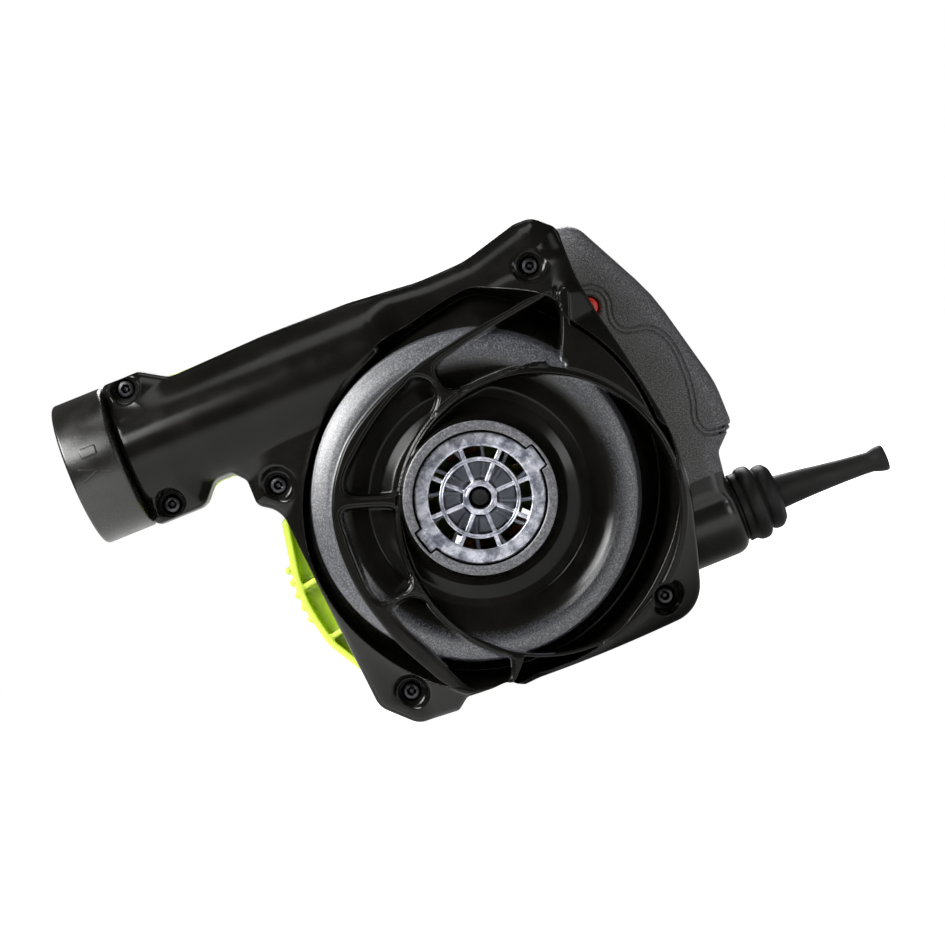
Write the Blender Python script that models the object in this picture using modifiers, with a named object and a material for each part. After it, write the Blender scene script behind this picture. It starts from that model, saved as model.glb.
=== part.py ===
"""Handheld electric blower: a centrifugal fan in a split scroll, driven by a universal motor.

The blower stands upright on the flat foot of its scroll. +Z is up, the air outlet points to -X, the
intake faces -Y, the motor lies towards +Y and the rear handle with its cord gland towards +X.
Sizes are in millimetres. A place is given as (x, z) from the fan axis, with a depth counted from the
front of the intake ring towards the motor.
"""

import math

import bmesh
import bpy
from mathutils import Matrix, Vector

MM = 0.001
GAP = 0.3

# Overall box and the fan axis in it
MOUTH_X = -160.2
TIP_X = 180.0
WIDTH = 170.0
FAN_X = -(MOUTH_X + TIP_X) / 2
FAN_Z = 82.3
BASE_Z = -FAN_Z

# Scroll: inner radius at angles counted anticlockwise from +X, seen from the intake side
SCROLL_RADII = [(90, 93.0), (130, 70.0), (180, 74.0), (270, 75.4), (360, 83.0), (450, 93.0)]
WALL = 3.0
SPLIT = 42.0
FLANGE = 5.0
SCROLL_BACK = 66.0
CHAMBER_BACK = 62.0

# Outlet duct and the round collar on its end
DUCT_Z = 75.0
NECK_X = -121.5
NECK_RADIUS = 22.6
COLLAR_RADIUS = 32.5
COLLAR_LENGTH = 23.2

# Intake ring and its bayonet guard
RING_OUTER = 33.0
RING_INNER = 28.9
THROAT_RADIUS = 26.0
NOTCH_ANGLES = [14.0, 196.5]
GROOVE_RADIUS = 31.8
GUARD_DEPTH = 3.6
GUARD_THICK = 3.0

# Fan and motor
FAN_RADIUS = 50.0
SHAFT_RADIUS = 4.0
BARREL_RADIUS = 41.0
BARREL_BORE = 36.6
BARREL_END = 148.0
ROTOR_RADIUS = 19.2
CORE_FRONT = 84.0
CORE_BACK = 118.0
BRUSH_DEPTH = 133.0

# Rear handle: two halves that meet at HANDLE_DEPTH
HANDLE_DEPTH = 86.0
HANDLE_HALF = 19.7
TAIL_Z = -50.0
TAIL_RADIUS = 19.5
TAIL_END = 108.0
LOCK_PLACE = (77.8, 61.0)
GRIP_TOP = Vector((58.0, 60.0))
GRIP_FOOT = Vector((80.0, -8.0))
TRIGGER_ALONG = 0.36

# Screws that hold the scroll halves: (x, z), the depth of the boss face and the boss radius
SCROLL_SCREWS = {
    "cover_screw_top": ((57.8, 85.5), 24.0, 6.4),
    "cover_screw_left": ((-80.1, 37.9), 28.0, 6.4),
    "cover_screw_foot": ((-59.6, -67.6), 27.0, 6.4),
    "cover_screw_right": ((58.7, -70.0), 22.0, 6.4),
    "nozzle_screw_upper": ((-126.6, 102.4), 31.0, 5.4),
    "nozzle_screw_lower": ((-126.6, 47.6), 31.0, 5.4),
}
HEAD_SINK = 3.2
HEAD_HEIGHT = 2.4
HEAD_RADIUS = 3.7
BOSS_WALL = 1.2
THREAD_HOLE = 2.2
THREAD_TIP = 53.2
HANDLE_SCREWS = [(64.0, 87.0), (100.0, 20.0), (6.0, 62.0), (22.0, -56.0)]
EAR_ANGLES = [45.0, 225.0]
EAR_RADIUS = 43.0
EAR_HOLE = 44.5

# Corners of the flange round the scroll and duct: (x, z, corner radius)
COVER_OUTLINE = [
    (-136.4, 107.3, 3), (-118, 107.3, 6), (-106, 99.9, 10), (30, 99.6, 25), (46, 105.8, 10),
    (67, 105.8, 8), (75.8, 97, 8), (74.3, 72, 40), (80, 42, 80), (87.2, 0, 60), (86.5, -28, 60),
    (74.5, BASE_Z, 16), (-12, BASE_Z, 3), (-18, -78.5, 4), (-37, -77.5, 3), (-43, BASE_Z, 3),
    (-62, BASE_Z, 9), (-75.5, -69, 10), (-83, 27, 12), (-92, 33, 5),
    (-92, 45, 4), (-97, 50.6, 3), (-105, 50.6, 6), (-113, 41.4, 7), (-136.4, 41.4, 3),
]
HANDLE_OUTLINE = [
    (-14, 84, 6), (58, 102, 16), (86, 99.5, 12), (107.5, 56, 90), (119, 8, 40), (119, -12, 6),
    (108.5, -22, 6), (105.5, -45, 3), (62, -45, 3), (62, -66, 6), (-12, -66, 8), (-12, -30, 2),
    (30, -31, 4), (50, -33, 8), (73, -32, 9), (80, -8, 14), (58, 60, 9), (40, 54, 10), (20, 34, 4),
    (-14, 30, 2),
]
GRIP_CAVITY = [
    (50, 86, 3), (60, 96, 9), (83, 94, 8), (103.5, 54, 80), (115, 7, 30), (115, -10, 4),
    (104, -20, 4), (101, -44, 3), (78, -44, 3), (84.5, -8, 12), (62.5, 65, 8), (52, 67, 5),
]


def spot(place, depth):
    """Point of the frame, in metres, at (x, z) from the fan axis and at a depth."""
    x, z = place
    return Vector(((x + FAN_X) * MM, (depth - WIDTH / 2) * MM, (z + FAN_Z) * MM))


def polar(radius, degrees):
    return radius * math.cos(math.radians(degrees)), radius * math.sin(math.radians(degrees))


def clear_scene():
    for old in list(bpy.data.objects):
        bpy.data.objects.remove(old, do_unlink=True)


def make_collection(name):
    made = bpy.data.collections.new(name)
    bpy.context.scene.collection.children.link(made)
    return made


clear_scene()
PARTS = make_collection("blower")
TOOLS = make_collection("cutters")


def material(name, colour, roughness, metallic=0.0):
    made = bpy.data.materials.new(name)
    made.use_nodes = True
    shader = made.node_tree.nodes["Principled BSDF"]
    shader.inputs["Base Color"].default_value = (*colour, 1.0)
    shader.inputs["Roughness"].default_value = roughness
    shader.inputs["Metallic"].default_value = metallic
    return made


BLACK = material("black_plastic", (0.02, 0.02, 0.021), 0.35)
GREY = material("grey_plastic", (0.075, 0.075, 0.085), 0.55)
GREEN = material("lime_plastic", (0.36, 0.62, 0.012), 0.4)
RED = material("red_plastic", (0.6, 0.04, 0.02), 0.4)
GUARD = material("silver_guard", (0.55, 0.55, 0.6), 0.3, 0.3)
FAN = material("fan_plastic", (0.2, 0.21, 0.25), 0.45)
RUBBER = material("black_rubber", (0.02, 0.02, 0.02), 0.7)
STEEL = material("screw_steel", (0.06, 0.06, 0.065), 0.3, 1.0)
SHAFT_STEEL = material("shaft_steel", (0.6, 0.6, 0.62), 0.3, 1.0)
IRON = material("lamination_iron", (0.3, 0.3, 0.32), 0.45, 1.0)
COPPER = material("copper_wire", (0.7, 0.3, 0.12), 0.35, 1.0)
BRASS = material("brass", (0.75, 0.55, 0.2), 0.35, 1.0)
CARBON = material("carbon", (0.03, 0.03, 0.03), 0.6)
BAKELITE = material("bakelite", (0.08, 0.05, 0.03), 0.5)
FILM = material("capacitor_yellow", (0.7, 0.5, 0.05), 0.4)


def add_object(name, data, finish=None):
    """An object in the parts with a finish, or a hidden cutter without one."""
    made = bpy.data.objects.new(name, data)
    if finish:
        PARTS.objects.link(made)
        data.materials.append(finish)
    else:
        TOOLS.objects.link(made)
        made.hide_render = True
        made.display_type = "WIRE"
    return made


def close_mesh(name, work, finish=None):
    """Ends a bmesh: faces turned outwards, and shaded smooth between sharp edges."""
    work.normal_update()
    bmesh.ops.recalc_face_normals(work, faces=work.faces)
    mesh = bpy.data.meshes.new(name)
    work.to_mesh(mesh)
    work.free()
    mesh.shade_smooth()
    mesh.set_sharp_from_angle(angle=math.radians(35))
    return add_object(name, mesh, finish)


def rounded(corners, step=30.0):
    """Closed outline through (x, z, radius) corners, each corner turned into an arc."""
    outline = []
    count = len(corners)
    for index, (x, z, radius) in enumerate(corners):
        corner = Vector((x, z))
        back = (Vector(corners[index - 1][:2]) - corner).normalized()
        ahead = (Vector(corners[(index + 1) % count][:2]) - corner).normalized()
        half = back.angle(ahead) / 2
        centre = corner + (back + ahead).normalized() * radius / math.sin(half)
        first = corner + back * radius / math.tan(half) - centre
        last = corner + ahead * radius / math.tan(half) - centre
        turn = first.angle_signed(last)
        pieces = max(1, round(abs(math.degrees(turn)) / step))
        for piece in range(pieces + 1):
            outline.append(centre + first @ Matrix.Rotation(turn * piece / pieces, 2))
    return outline


def circle(centre, radius, count=28, start=0.0):
    centre = Vector(centre)
    return [centre + Vector(polar(radius, start + 360 * k / count)) for k in range(count)]


def plate(name, outlines, front, back, finish=None):
    """Flat solid between two depths, from closed outlines: the first is the rim, others are holes."""
    curve = bpy.data.curves.new(name, "CURVE")
    curve.dimensions = "2D"
    curve.fill_mode = "BOTH"
    curve.extrude = (back - front) / 2 * MM
    for outline in outlines:
        spline = curve.splines.new("POLY")
        spline.points.add(len(outline) - 1)
        for point, (x, z) in zip(spline.points, outline):
            point.co = (x * MM, z * MM, 0, 1)
        spline.use_cyclic_u = True
    drawn = bpy.data.objects.new(name + "_outline", curve)
    bpy.context.scene.collection.objects.link(drawn)
    upright = Matrix.Rotation(math.pi / 2, 4, "X")
    drawn.matrix_world = Matrix.Translation(spot((0, 0), (front + back) / 2)) @ upright
    bpy.context.view_layer.update()
    graph = bpy.context.evaluated_depsgraph_get()
    mesh = bpy.data.meshes.new_from_object(drawn.evaluated_get(graph))
    work = bmesh.new()
    work.from_mesh(mesh)
    work.transform(drawn.matrix_world)
    bmesh.ops.remove_doubles(work, verts=work.verts, dist=0.00001)
    bpy.data.meshes.remove(mesh)
    bpy.data.objects.remove(drawn)
    return close_mesh(name, work, finish)


def ribbon(path, width):
    """Outline of a strip of one width along an open path of (x, z) points."""
    points = [Vector(point) for point in path]
    left, right = [], []
    for index, point in enumerate(points):
        along = points[min(index + 1, len(points) - 1)] - points[max(index - 1, 0)]
        side = Vector((-along.y, along.x)).normalized() * width / 2
        left.append(point + side)
        right.append(point - side)
    return left + right[::-1]


def block(name, low, high, finish=None, turn=None, pivot=None):
    """Box between two (x, depth, z) corners, optionally turned about the depth axis at a pivot."""
    work = bmesh.new()
    bmesh.ops.create_cube(work, size=1.0)
    first, last = spot((low[0], low[2]), low[1]), spot((high[0], high[2]), high[1])
    work.transform(Matrix.Translation((first + last) / 2) @ Matrix.Diagonal((*(last - first), 1)))
    if turn:
        centre = spot(pivot, 0)
        spin = Matrix.Translation(centre) @ Matrix.Rotation(-turn, 4, "Y") @ Matrix.Translation(-centre)
        work.transform(spin)
    return close_mesh(name, work, finish)


def rod(name, start, end, radius, finish=None, count=28):
    """Cylinder or cone between two points given as (x, depth, z)."""
    first, last = spot((start[0], start[2]), start[1]), spot((end[0], end[2]), end[1])
    along = last - first
    work = bmesh.new()
    bmesh.ops.create_cone(
        work, cap_ends=True, segments=count, radius1=radius * MM,
        radius2=radius * MM, depth=along.length,
    )
    aim = along.to_track_quat("Z", "X").to_matrix().to_4x4()
    work.transform(Matrix.Translation((first + last) / 2) @ aim)
    return close_mesh(name, work, finish)


def post(name, place, front, back, radius, finish=None, count=10):
    return rod(name, (place[0], front, place[1]), (place[0], back, place[1]), radius, finish, count)


def turned(name, profile, finish=None, steps=28, centre=(0, 0), along_x=None):
    """Solid of revolution from (radius, distance) points, round the depth axis or along +X at a depth."""
    area = sum(a[0] * b[1] - b[0] * a[1] for a, b in zip(profile, profile[1:] + profile[:1]))
    points = profile[::-1] if area > 0 else list(profile)
    touching = [index for index, point in enumerate(points) if point[0] == 0]
    if touching:
        start = next(i for i in touching if points[i - 1][0] == 0)
        points = points[start:] + points[:start]
    mesh = bpy.data.meshes.new(name)
    edges = [(k, k + 1) for k in range(len(points) - 1)]
    if not touching:
        edges.append((len(points) - 1, 0))
    mesh.from_pydata([(radius * MM, 0, far * MM) for radius, far in points], edges, [])
    made = add_object(name, mesh, finish)
    if along_x is None:
        made.location = spot(centre, 0)
        made.rotation_euler = (-math.pi / 2, 0, 0)
    else:
        made.location = spot((0, centre[1]), along_x)
        made.rotation_euler = (0, math.pi / 2, 0)
    screw = made.modifiers.new("turn", "SCREW")
    screw.steps = screw.render_steps = steps
    screw.use_merge_vertices = True
    screw.merge_threshold = 0.00001
    screw.use_smooth_shade = False
    return made


def loft(name, sections, finish=None):
    """Solid through closed rings of equal point count, capped at both ends."""
    work = bmesh.new()
    rings = [[work.verts.new(point) for point in ring] for ring in sections]
    for ring, following in zip(rings, rings[1:]):
        for index in range(len(ring)):
            after = (index + 1) % len(ring)
            work.faces.new((ring[index], ring[after], following[after], following[index]))
    work.faces.new(rings[0])
    work.faces.new(rings[-1][::-1])
    return close_mesh(name, work, finish)


def rest_on(made, place):
    """Moves the origin of a mesh drawn in frame coordinates, and leaves the mesh where it is."""
    made.data.transform(Matrix.Translation(-place))
    made.location = place
    return made


def coil(name, places, wire):
    """Spring wire through points in metres."""
    curve = bpy.data.curves.new(name, "CURVE")
    curve.dimensions = "3D"
    curve.bevel_depth = wire * MM
    curve.bevel_resolution = 0
    curve.use_fill_caps = True
    spline = curve.splines.new("POLY")
    spline.points.add(len(places) - 1)
    for point, place in zip(spline.points, places):
        point.co = (*place, 1)
    return add_object(name, curve, SHAFT_STEEL)


def combine(target, tools, operation):
    for tool in tools:
        step = target.modifiers.new(tool.name, "BOOLEAN")
        step.operation = operation
        step.object = tool
    return target


def join(target, *tools):
    return combine(target, tools, "UNION")


def cut(target, *tools):
    return combine(target, tools, "DIFFERENCE")


def scroll_radius(degrees):
    angle = (degrees - 90) % 360 + 90
    for (low, near), (high, far) in zip(SCROLL_RADII, SCROLL_RADII[1:]):
        if angle <= high:
            return near + (far - near) * (angle - low) / (high - low)
    return SCROLL_RADII[-1][1]


def scroll_ring(offset, depth, inner=None, share=1.0, count=28):
    """Ring of points on the scroll, or a share of the way out to it from a circle."""
    ring = []
    for index in range(count):
        degrees = 360 * index / count
        radius = scroll_radius(degrees) + offset
        if inner is not None:
            radius = inner + (radius - inner) * share
        ring.append(spot(polar(radius, degrees), depth))
    return ring


def duct_solid(name, sections, count=16):
    """Solid along X through rounded sections (x, half height, half depth, squareness)."""
    rings = []
    for x, tall, deep, square in sections:
        ring = []
        for index in range(count):
            across, up = polar(1.0, 360 * (index + 0.5) / count)
            across = math.copysign(abs(across) ** (2 / square), across)
            up = math.copysign(abs(up) ** (2 / square), up)
            ring.append(spot((x, DUCT_Z + tall * up), SPLIT + deep * across))
        rings.append(ring)
    return loft(name, rings)


def duct_shell(name):
    sections = [
        (-136.4, 25.8, 25.8, 2), (-100, 25, 25.4, 2.2), (-20, 24.8, 23.8, 3.5), (25, 24.8, 23.8, 3.5),
    ]
    return duct_solid(name, sections)


def duct_bore(name):
    sections = [
        (NECK_X - 2, 20.2, 20.2, 2), (-100, 21, 21.5, 2.2), (-20, 21.6, 20.8, 3.5), (20, 21.6, 20.8, 3.5),
    ]
    return duct_solid(name, sections)


def neck_bore(name):
    return rod(name, (-138, SPLIT, DUCT_Z), (NECK_X, SPLIT, DUCT_Z), NECK_RADIUS)


def split_block(name, front, back):
    """Everything between two depths, wider than the blower."""
    return block(name, (-200, front, -120), (200, back, 140))


def screw(name, place, head_front, reach, facing=1):
    """Cross-recess screw driven towards the motor (facing 1) or towards the intake (facing -1)."""
    def at(distance):
        return head_front + facing * distance
    under, shank = at(HEAD_HEIGHT), THREAD_HOLE - GAP
    profile = [
        (0, at(0)), (HEAD_RADIUS - 1.1, at(0)), (HEAD_RADIUS, at(1.1)), (HEAD_RADIUS, under),
        (shank, under), (shank, at(reach)), (0, at(reach)),
    ]
    made = turned(name, profile, STEEL, steps=10, centre=place)
    arm, sink = 2.0, at(1.3)
    low, high = min(at(-1), sink), max(at(-1), sink)
    x, z = place
    wide = block(name + "_slot", (x - arm, low, z - 0.45), (x + arm, high, z + 0.45))
    tall = block(name + "_cross", (x - 0.45, low, z - arm), (x + 0.45, high, z + arm))
    join(wide, tall)
    return cut(made, wide)


def dome_outside(name):
    rings = [scroll_ring(WALL, SPLIT + 2), scroll_ring(WALL, 28, 72, 0.9)]
    dome = [(72, 13), (64, 9.2), (57, 11.5), (46, 17.5), (37, 13), (RING_OUTER, 4), (RING_OUTER, 0)]
    for radius, depth in dome:
        rings.append([spot(point, depth) for point in circle((0, 0), radius, 28)])
    return loft(name, rings, BLACK)


def dome_inside(name):
    rings = [scroll_ring(0, SPLIT + 3), scroll_ring(0, 29.5, 69.5, 0.9)]
    for radius, depth in [(69.5, 15.5), (63.5, 12.4), (46, 20.5), (24, 19.4)]:
        rings.append([spot(point, depth) for point in circle((0, 0), radius, 28)])
    return loft(name, rings)


def cover_ribs():
    """Raised ribs on the dome: an off-centre ring, a sweeping arc and the bars between them."""
    centre = (22.0, -16.0)
    ribs = [plate("rib_ring", [circle(centre, 62.9), circle(centre, 59.9)], 7.5, 38.5)]
    arc = [(32, 96), (-4, 79), (-44, 49.6), (-57, 26), (-63, 0), (-62, -30), (-49.7, -53), (-35, -75)]
    ribs.append(plate("rib_arc", [ribbon(arc, 3.0)], 7.4, 39.2))
    bars = [
        [(-42, 47), (-25, 34)], [(-58, 22), (-33, 10)], [(-60, -26), (-39, -26)],
        [(36, 86), (50, 43)], [(-34, -72), (-2, -72)], [(-30, 62), (40, 86)],
    ]
    for index, bar in enumerate(bars):
        ribs.append(plate(f"rib_bar_{index}", [ribbon(bar, 3.0)], 7.7, 38.1))
    return ribs


def screw_posts(prefix, front, back, radius):
    """A post of one radius at each screw that holds the two scroll halves together."""
    return [
        post(f"{prefix}_{name}", place, front, back, radius)
        for name, (place, _, _) in SCROLL_SCREWS.items()
    ]


def screw_bosses():
    return [
        post(f"boss_{name}", place, face, SPLIT + 1.5, radius)
        for name, (place, face, radius) in SCROLL_SCREWS.items()
    ]


def screw_recesses():
    """Room for each screw head, open towards the intake."""
    return [
        post(f"recess_{name}", place, face - 1, face + HEAD_SINK + HEAD_HEIGHT + 0.2, radius - BOSS_WALL)
        for name, (place, face, radius) in SCROLL_SCREWS.items()
    ]


def front_cover():
    """Intake half of the scroll: flange, dome, duct half, ribs and the intake ring."""
    body = dome_outside("front_cover")
    join(body, plate("cover_flange", [rounded(COVER_OUTLINE)], SPLIT - FLANGE, SPLIT + 1))
    join(body, duct_shell("cover_duct"), *cover_ribs(), *screw_bosses())
    throat = [
        (0, -1), (RING_INNER, -1), (RING_INNER, 3), (GROOVE_RADIUS, 3),
        (GROOVE_RADIUS, 7), (THROAT_RADIUS, 7), (THROAT_RADIUS, 25), (0, 25),
    ]
    cut(body, dome_inside("chamber_front"), duct_bore("duct_front_bore"), neck_bore("neck_front"))
    cut(body, turned("throat", throat))
    for index, angle in enumerate(NOTCH_ANGLES):
        radians = math.radians(angle)
        first, last = (20, -1, -5.8), (GROOVE_RADIUS, 5, 5.8)
        cut(body, block(f"notch_{index}", first, last, turn=radians, pivot=(0, 0)))
    cut(body, *screw_recesses(), *screw_posts("cover_hole", 20, 45, THREAD_HOLE))
    return cut(body, split_block("cover_trim", SPLIT - GAP / 2, 120))


def scroll_back(name):
    rings = [scroll_ring(WALL, SPLIT - 2), scroll_ring(WALL, 61), scroll_ring(-2, SCROLL_BACK)]
    return loft(name, rings, GREEN)


def side_wing():
    """Ribbed bulge on the side of the rear housing: a rim with two webs, hollow towards the intake."""
    rim = rounded([
        (-70, 24, 2), (-86, 24, 4), (-93.5, -12, 60), (-88, -36, 20), (-70, -66, 4), (-58, -62, 2),
    ])
    body = plate("wing_rim", [rim], 48, 62)
    pocket = rounded([
        (-66, 16, 2), (-83.5, 14, 3), (-89.5, -12, 50), (-84.5, -34, 16), (-70, -56, 3), (-60, -50, 2),
    ])
    cut(body, plate("wing_pocket", [pocket], 46, 57))
    join(body, plate("wing_web_0", [ribbon([(-92, -9), (-66, -5)], 2.4)], 48.5, 60))
    join(body, plate("wing_web_1", [ribbon([(-88, -34), (-62, -30)], 2.4)], 48.5, 60))
    for index in range(6):
        place = Vector((-91.2, 2.0)).lerp(Vector((-90.0, -30.0)), index / 5)
        bulge = 1.6 * math.sin(math.pi * index / 5)
        join(body, post(f"wing_bump_{index}", (place.x - bulge, place.y), 48.6, 61.4, 1.5, count=6))
    return body


def rear_housing():
    """Motor half of the scroll, with the motor barrel, the side wing and the stand."""
    body = scroll_back("rear_housing")
    join(body, plate("rear_flange", [rounded(COVER_OUTLINE)], SPLIT - 1, SPLIT + FLANGE))
    join(body, duct_shell("rear_duct"), *screw_posts("rear_boss", SPLIT - 1.5, SCROLL_BACK - 8, 5.4))
    join(body, rod("barrel", (0, 60, 0), (0, BARREL_END, 0), BARREL_RADIUS, count=32), side_wing())
    for index, angle in enumerate(EAR_ANGLES):
        join(body, post(f"barrel_ear_{index}", polar(EAR_RADIUS, angle), 130, BARREL_END - 0.2, 5))
    stand = rounded([(-35, BASE_Z + 1, 3), (35, BASE_Z + 1, 3), (30, -34, 8), (-30, -34, 8)])
    join(body, plate("stand_web", [stand], 120, 126))
    foot = rounded([(-36, BASE_Z, 1), (36, BASE_Z, 1), (36, BASE_Z + 5, 2), (-36, BASE_Z + 5, 2)])
    join(body, plate("stand_foot", [foot], 106, 140))
    rings = [scroll_ring(0, SPLIT - 3), scroll_ring(0, 56), scroll_ring(-5, CHAMBER_BACK)]
    bay = [
        (0, 60), (5, 60), (5, 66.5), (11.4, 66.5), (11.4, 77), (15, 77), (15, 67),
        (BARREL_BORE, 67), (BARREL_BORE, 150), (0, 150),
    ]
    cut(body, loft("chamber_rear", rings), duct_bore("duct_rear_bore"), neck_bore("neck_rear"))
    cut(body, turned("motor_bay", bay))
    for index in range(5):
        middle = 90 + 72 * index
        arc = [polar(30, middle + step) for step in (-22, -11, 0, 11, 22)]
        arc += [polar(20, middle + step) for step in (20, 0, -20)]
        cut(body, plate(f"air_passage_{index}", [[Vector(point) for point in arc]], 60, 69))
    for side in (-1, 1):
        inner, outer = (side * 30, BRUSH_DEPTH, 0), (side * 50, BRUSH_DEPTH, 0)
        cut(body, rod(f"brush_hole_{side}", inner, outer, 7.8, count=20))
    for index, angle in enumerate(EAR_ANGLES):
        cut(body, post(f"ear_hole_{index}", polar(EAR_HOLE, angle), 136, 150, 1.8, count=8))
    cut(body, *screw_posts("rear_hole", SPLIT - 3, THREAD_TIP + 1.3, THREAD_HOLE))
    return cut(body, split_block("rear_trim", -20, SPLIT + GAP / 2))


def outlet_collar():
    """Round cup on the end of the duct, with a neck that the two duct halves clamp."""
    back = MOUTH_X + COLLAR_LENGTH
    profile = [
        (29, MOUTH_X), (COLLAR_RADIUS - 0.6, MOUTH_X), (COLLAR_RADIUS, MOUTH_X + 0.8),
        (COLLAR_RADIUS, back - 0.8), (COLLAR_RADIUS - 0.8, back),
        (NECK_RADIUS - 0.5, back), (NECK_RADIUS - 0.5, NECK_X - 0.5),
        (19.8, NECK_X - 0.5), (19.8, back - 4), (29, back - 7),
    ]
    body = turned("outlet_collar", profile, BLACK, centre=(0, DUCT_Z), along_x=SPLIT)
    return join(body, block("collar_key", (-152, 8.7, 79), (-145, 12, 83)))


def inlet_guard():
    """Round guard with two rings of spokes and two bayonet lugs."""
    front, back = GUARD_DEPTH, GUARD_DEPTH + GUARD_THICK
    rim = [(22.3, front), (28.2, front), (28.2, back), (22.3, back)]
    body = turned("inlet_guard", rim, GUARD, steps=24)
    for index in range(4):
        turn = math.radians(0.5 + 45 * index)
        first, last = (-23, front + 0.6, -1.0), (23, back - 0.3, 1.0)
        join(body, block(f"spoke_{index}", first, last, turn=turn, pivot=(0, 0)))
    middle = [(16.2, front + 0.2), (17.8, front + 0.2), (17.8, back - 0.1), (16.2, back - 0.1)]
    join(body, turned("guard_mid", middle, steps=16))
    join(body, plate("guard_hub", [circle((0, 0), 7.6, 8, 22.5)], front + 0.1, back + 0.1))
    for index, angle in enumerate(NOTCH_ANGLES):
        first, last = (26, front + 0.1, -5.2), (31.0, back - 0.2, 5.2)
        join(body, block(f"guard_lug_{index}", first, last, turn=math.radians(angle), pivot=(0, 0)))
    return cut(body, post("guard_eye", (0, 0), 0, 12, 4.9, count=20))


def impeller():
    """Open fan: curved blades on a hub, held by a thin ring at the back and one at the front."""
    outline = []
    blades = 9
    for blade in range(blades):
        base = 360 * blade / blades
        stations = [(9 + (FAN_RADIUS - 9) * k / 3, base + 26 * (k / 3) ** 1.3) for k in range(4)]
        thick = 1.8
        left = [Vector(polar(r, a)) + Vector(polar(thick / 2, a + 78)) for r, a in stations]
        right = [Vector(polar(r, a)) - Vector(polar(thick / 2, a + 78)) for r, a in stations]
        outline += right + left[::-1]
        outline.append(Vector(polar(9.0, base + 20)))
    body = rest_on(plate("impeller", [outline], 27, 58, FAN), spot((0, 0), 0))
    rim = FAN_RADIUS + 1.5
    join(body, turned("fan_back_ring", [(27, 56.6), (rim, 56.6), (rim, 58.6), (27, 58.6)], steps=20))
    join(body, turned("fan_front_ring", [(36, 24.6), (rim, 25.6), (rim, 27.8), (36, 28)], steps=20))
    join(body, post("fan_hub", (0, 0), 40, 59.4, 9.6, count=24))
    cut(body, post("fan_bore", (0, 0), 20, 64, SHAFT_RADIUS + GAP, count=20))
    return cut(body, post("fan_eye", (0, 0), 20, 39.8, 8.4, count=24))


def fan_fixings():
    bore = SHAFT_RADIUS + GAP
    turned("fan_washer", [(bore, 38.2), (7.6, 38.2), (7.6, 39.5), (bore, 39.5)], SHAFT_STEEL, steps=20)
    nut = rest_on(plate("fan_nut", [circle((0, 0), 6.8, 6)], 32.6, 37.9, STEEL), spot((0, 0), 0))
    cut(nut, post("nut_bore", (0, 0), 30, 40, bore, count=20))


def rotor():
    shaft = [(0, 30), (3.4, 30), (SHAFT_RADIUS, 31), (SHAFT_RADIUS, 147.6), (0, 147.6)]
    turned("motor_shaft", shaft, SHAFT_STEEL, steps=16)
    bore = SHAFT_RADIUS + GAP
    stack = [(bore, CORE_FRONT), (ROTOR_RADIUS, CORE_FRONT), (ROTOR_RADIUS, CORE_BACK), (bore, CORE_BACK)]
    core = turned("armature_core", stack, IRON, steps=24)
    slots = 6
    for index in range(slots):
        middle = Vector(polar(16.2, 360 * (index + 0.5) / slots))
        cut(core, post(f"armature_slot_{index}", middle, CORE_FRONT - 1, CORE_BACK + 1, 1.9, count=6))
    def winding(name, near, far):
        profile = [(7, near), (13, near), (15.4, near + 2), (15.4, far - 1), (13, far), (7, far)]
        turned(name, profile, COPPER, steps=18)
    winding("armature_winding_front", 78.5, CORE_FRONT - GAP)
    winding("armature_winding_rear", CORE_BACK + GAP, 125.5)
    turned("commutator", [(bore, 126.2), (12, 126.2), (12, 139.6), (bore, 139.6)], BRASS, steps=24)


def bearing(name, front, width, outer):
    bore = SHAFT_RADIUS + 0.2
    back = front + width
    profile = [(bore, front), (outer - 0.5, front), (outer, front + 0.5), (outer, back), (bore, back)]
    return turned(name, profile, SHAFT_STEEL, steps=18)


def stator():
    """Laminated field ring with two poles, and a coil round each pole."""
    stack = [(28.6, CORE_FRONT), (36.0, CORE_FRONT), (36.0, CORE_BACK), (28.6, CORE_BACK)]
    core = turned("field_core", stack, IRON)
    for name, side in (("upper", 1), ("lower", -1)):
        low, high = sorted((side * 14.0, side * 31.0))
        join(core, block(f"pole_{name}", (-11.8, CORE_FRONT + 0.1, low), (11.8, CORE_BACK - 0.1, high)))
    cut(core, post("rotor_bore", (0, 0), CORE_FRONT - 2, CORE_BACK + 2, ROTOR_RADIUS + 0.6, count=32))
    for name, side in (("upper", 1), ("lower", -1)):
        low, high = sorted((side * 17.0, side * 21.8))
        first, last = (-17.4, CORE_FRONT - 5.3, low), (17.4, CORE_BACK + 5.3, high)
        turns = block(f"field_coil_{name}", first, last, COPPER)
        first, last = (-12.2, CORE_FRONT - 0.4, -40), (12.2, CORE_BACK + 0.4, 40)
        cut(turns, block(f"coil_window_{name}", first, last))


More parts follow.
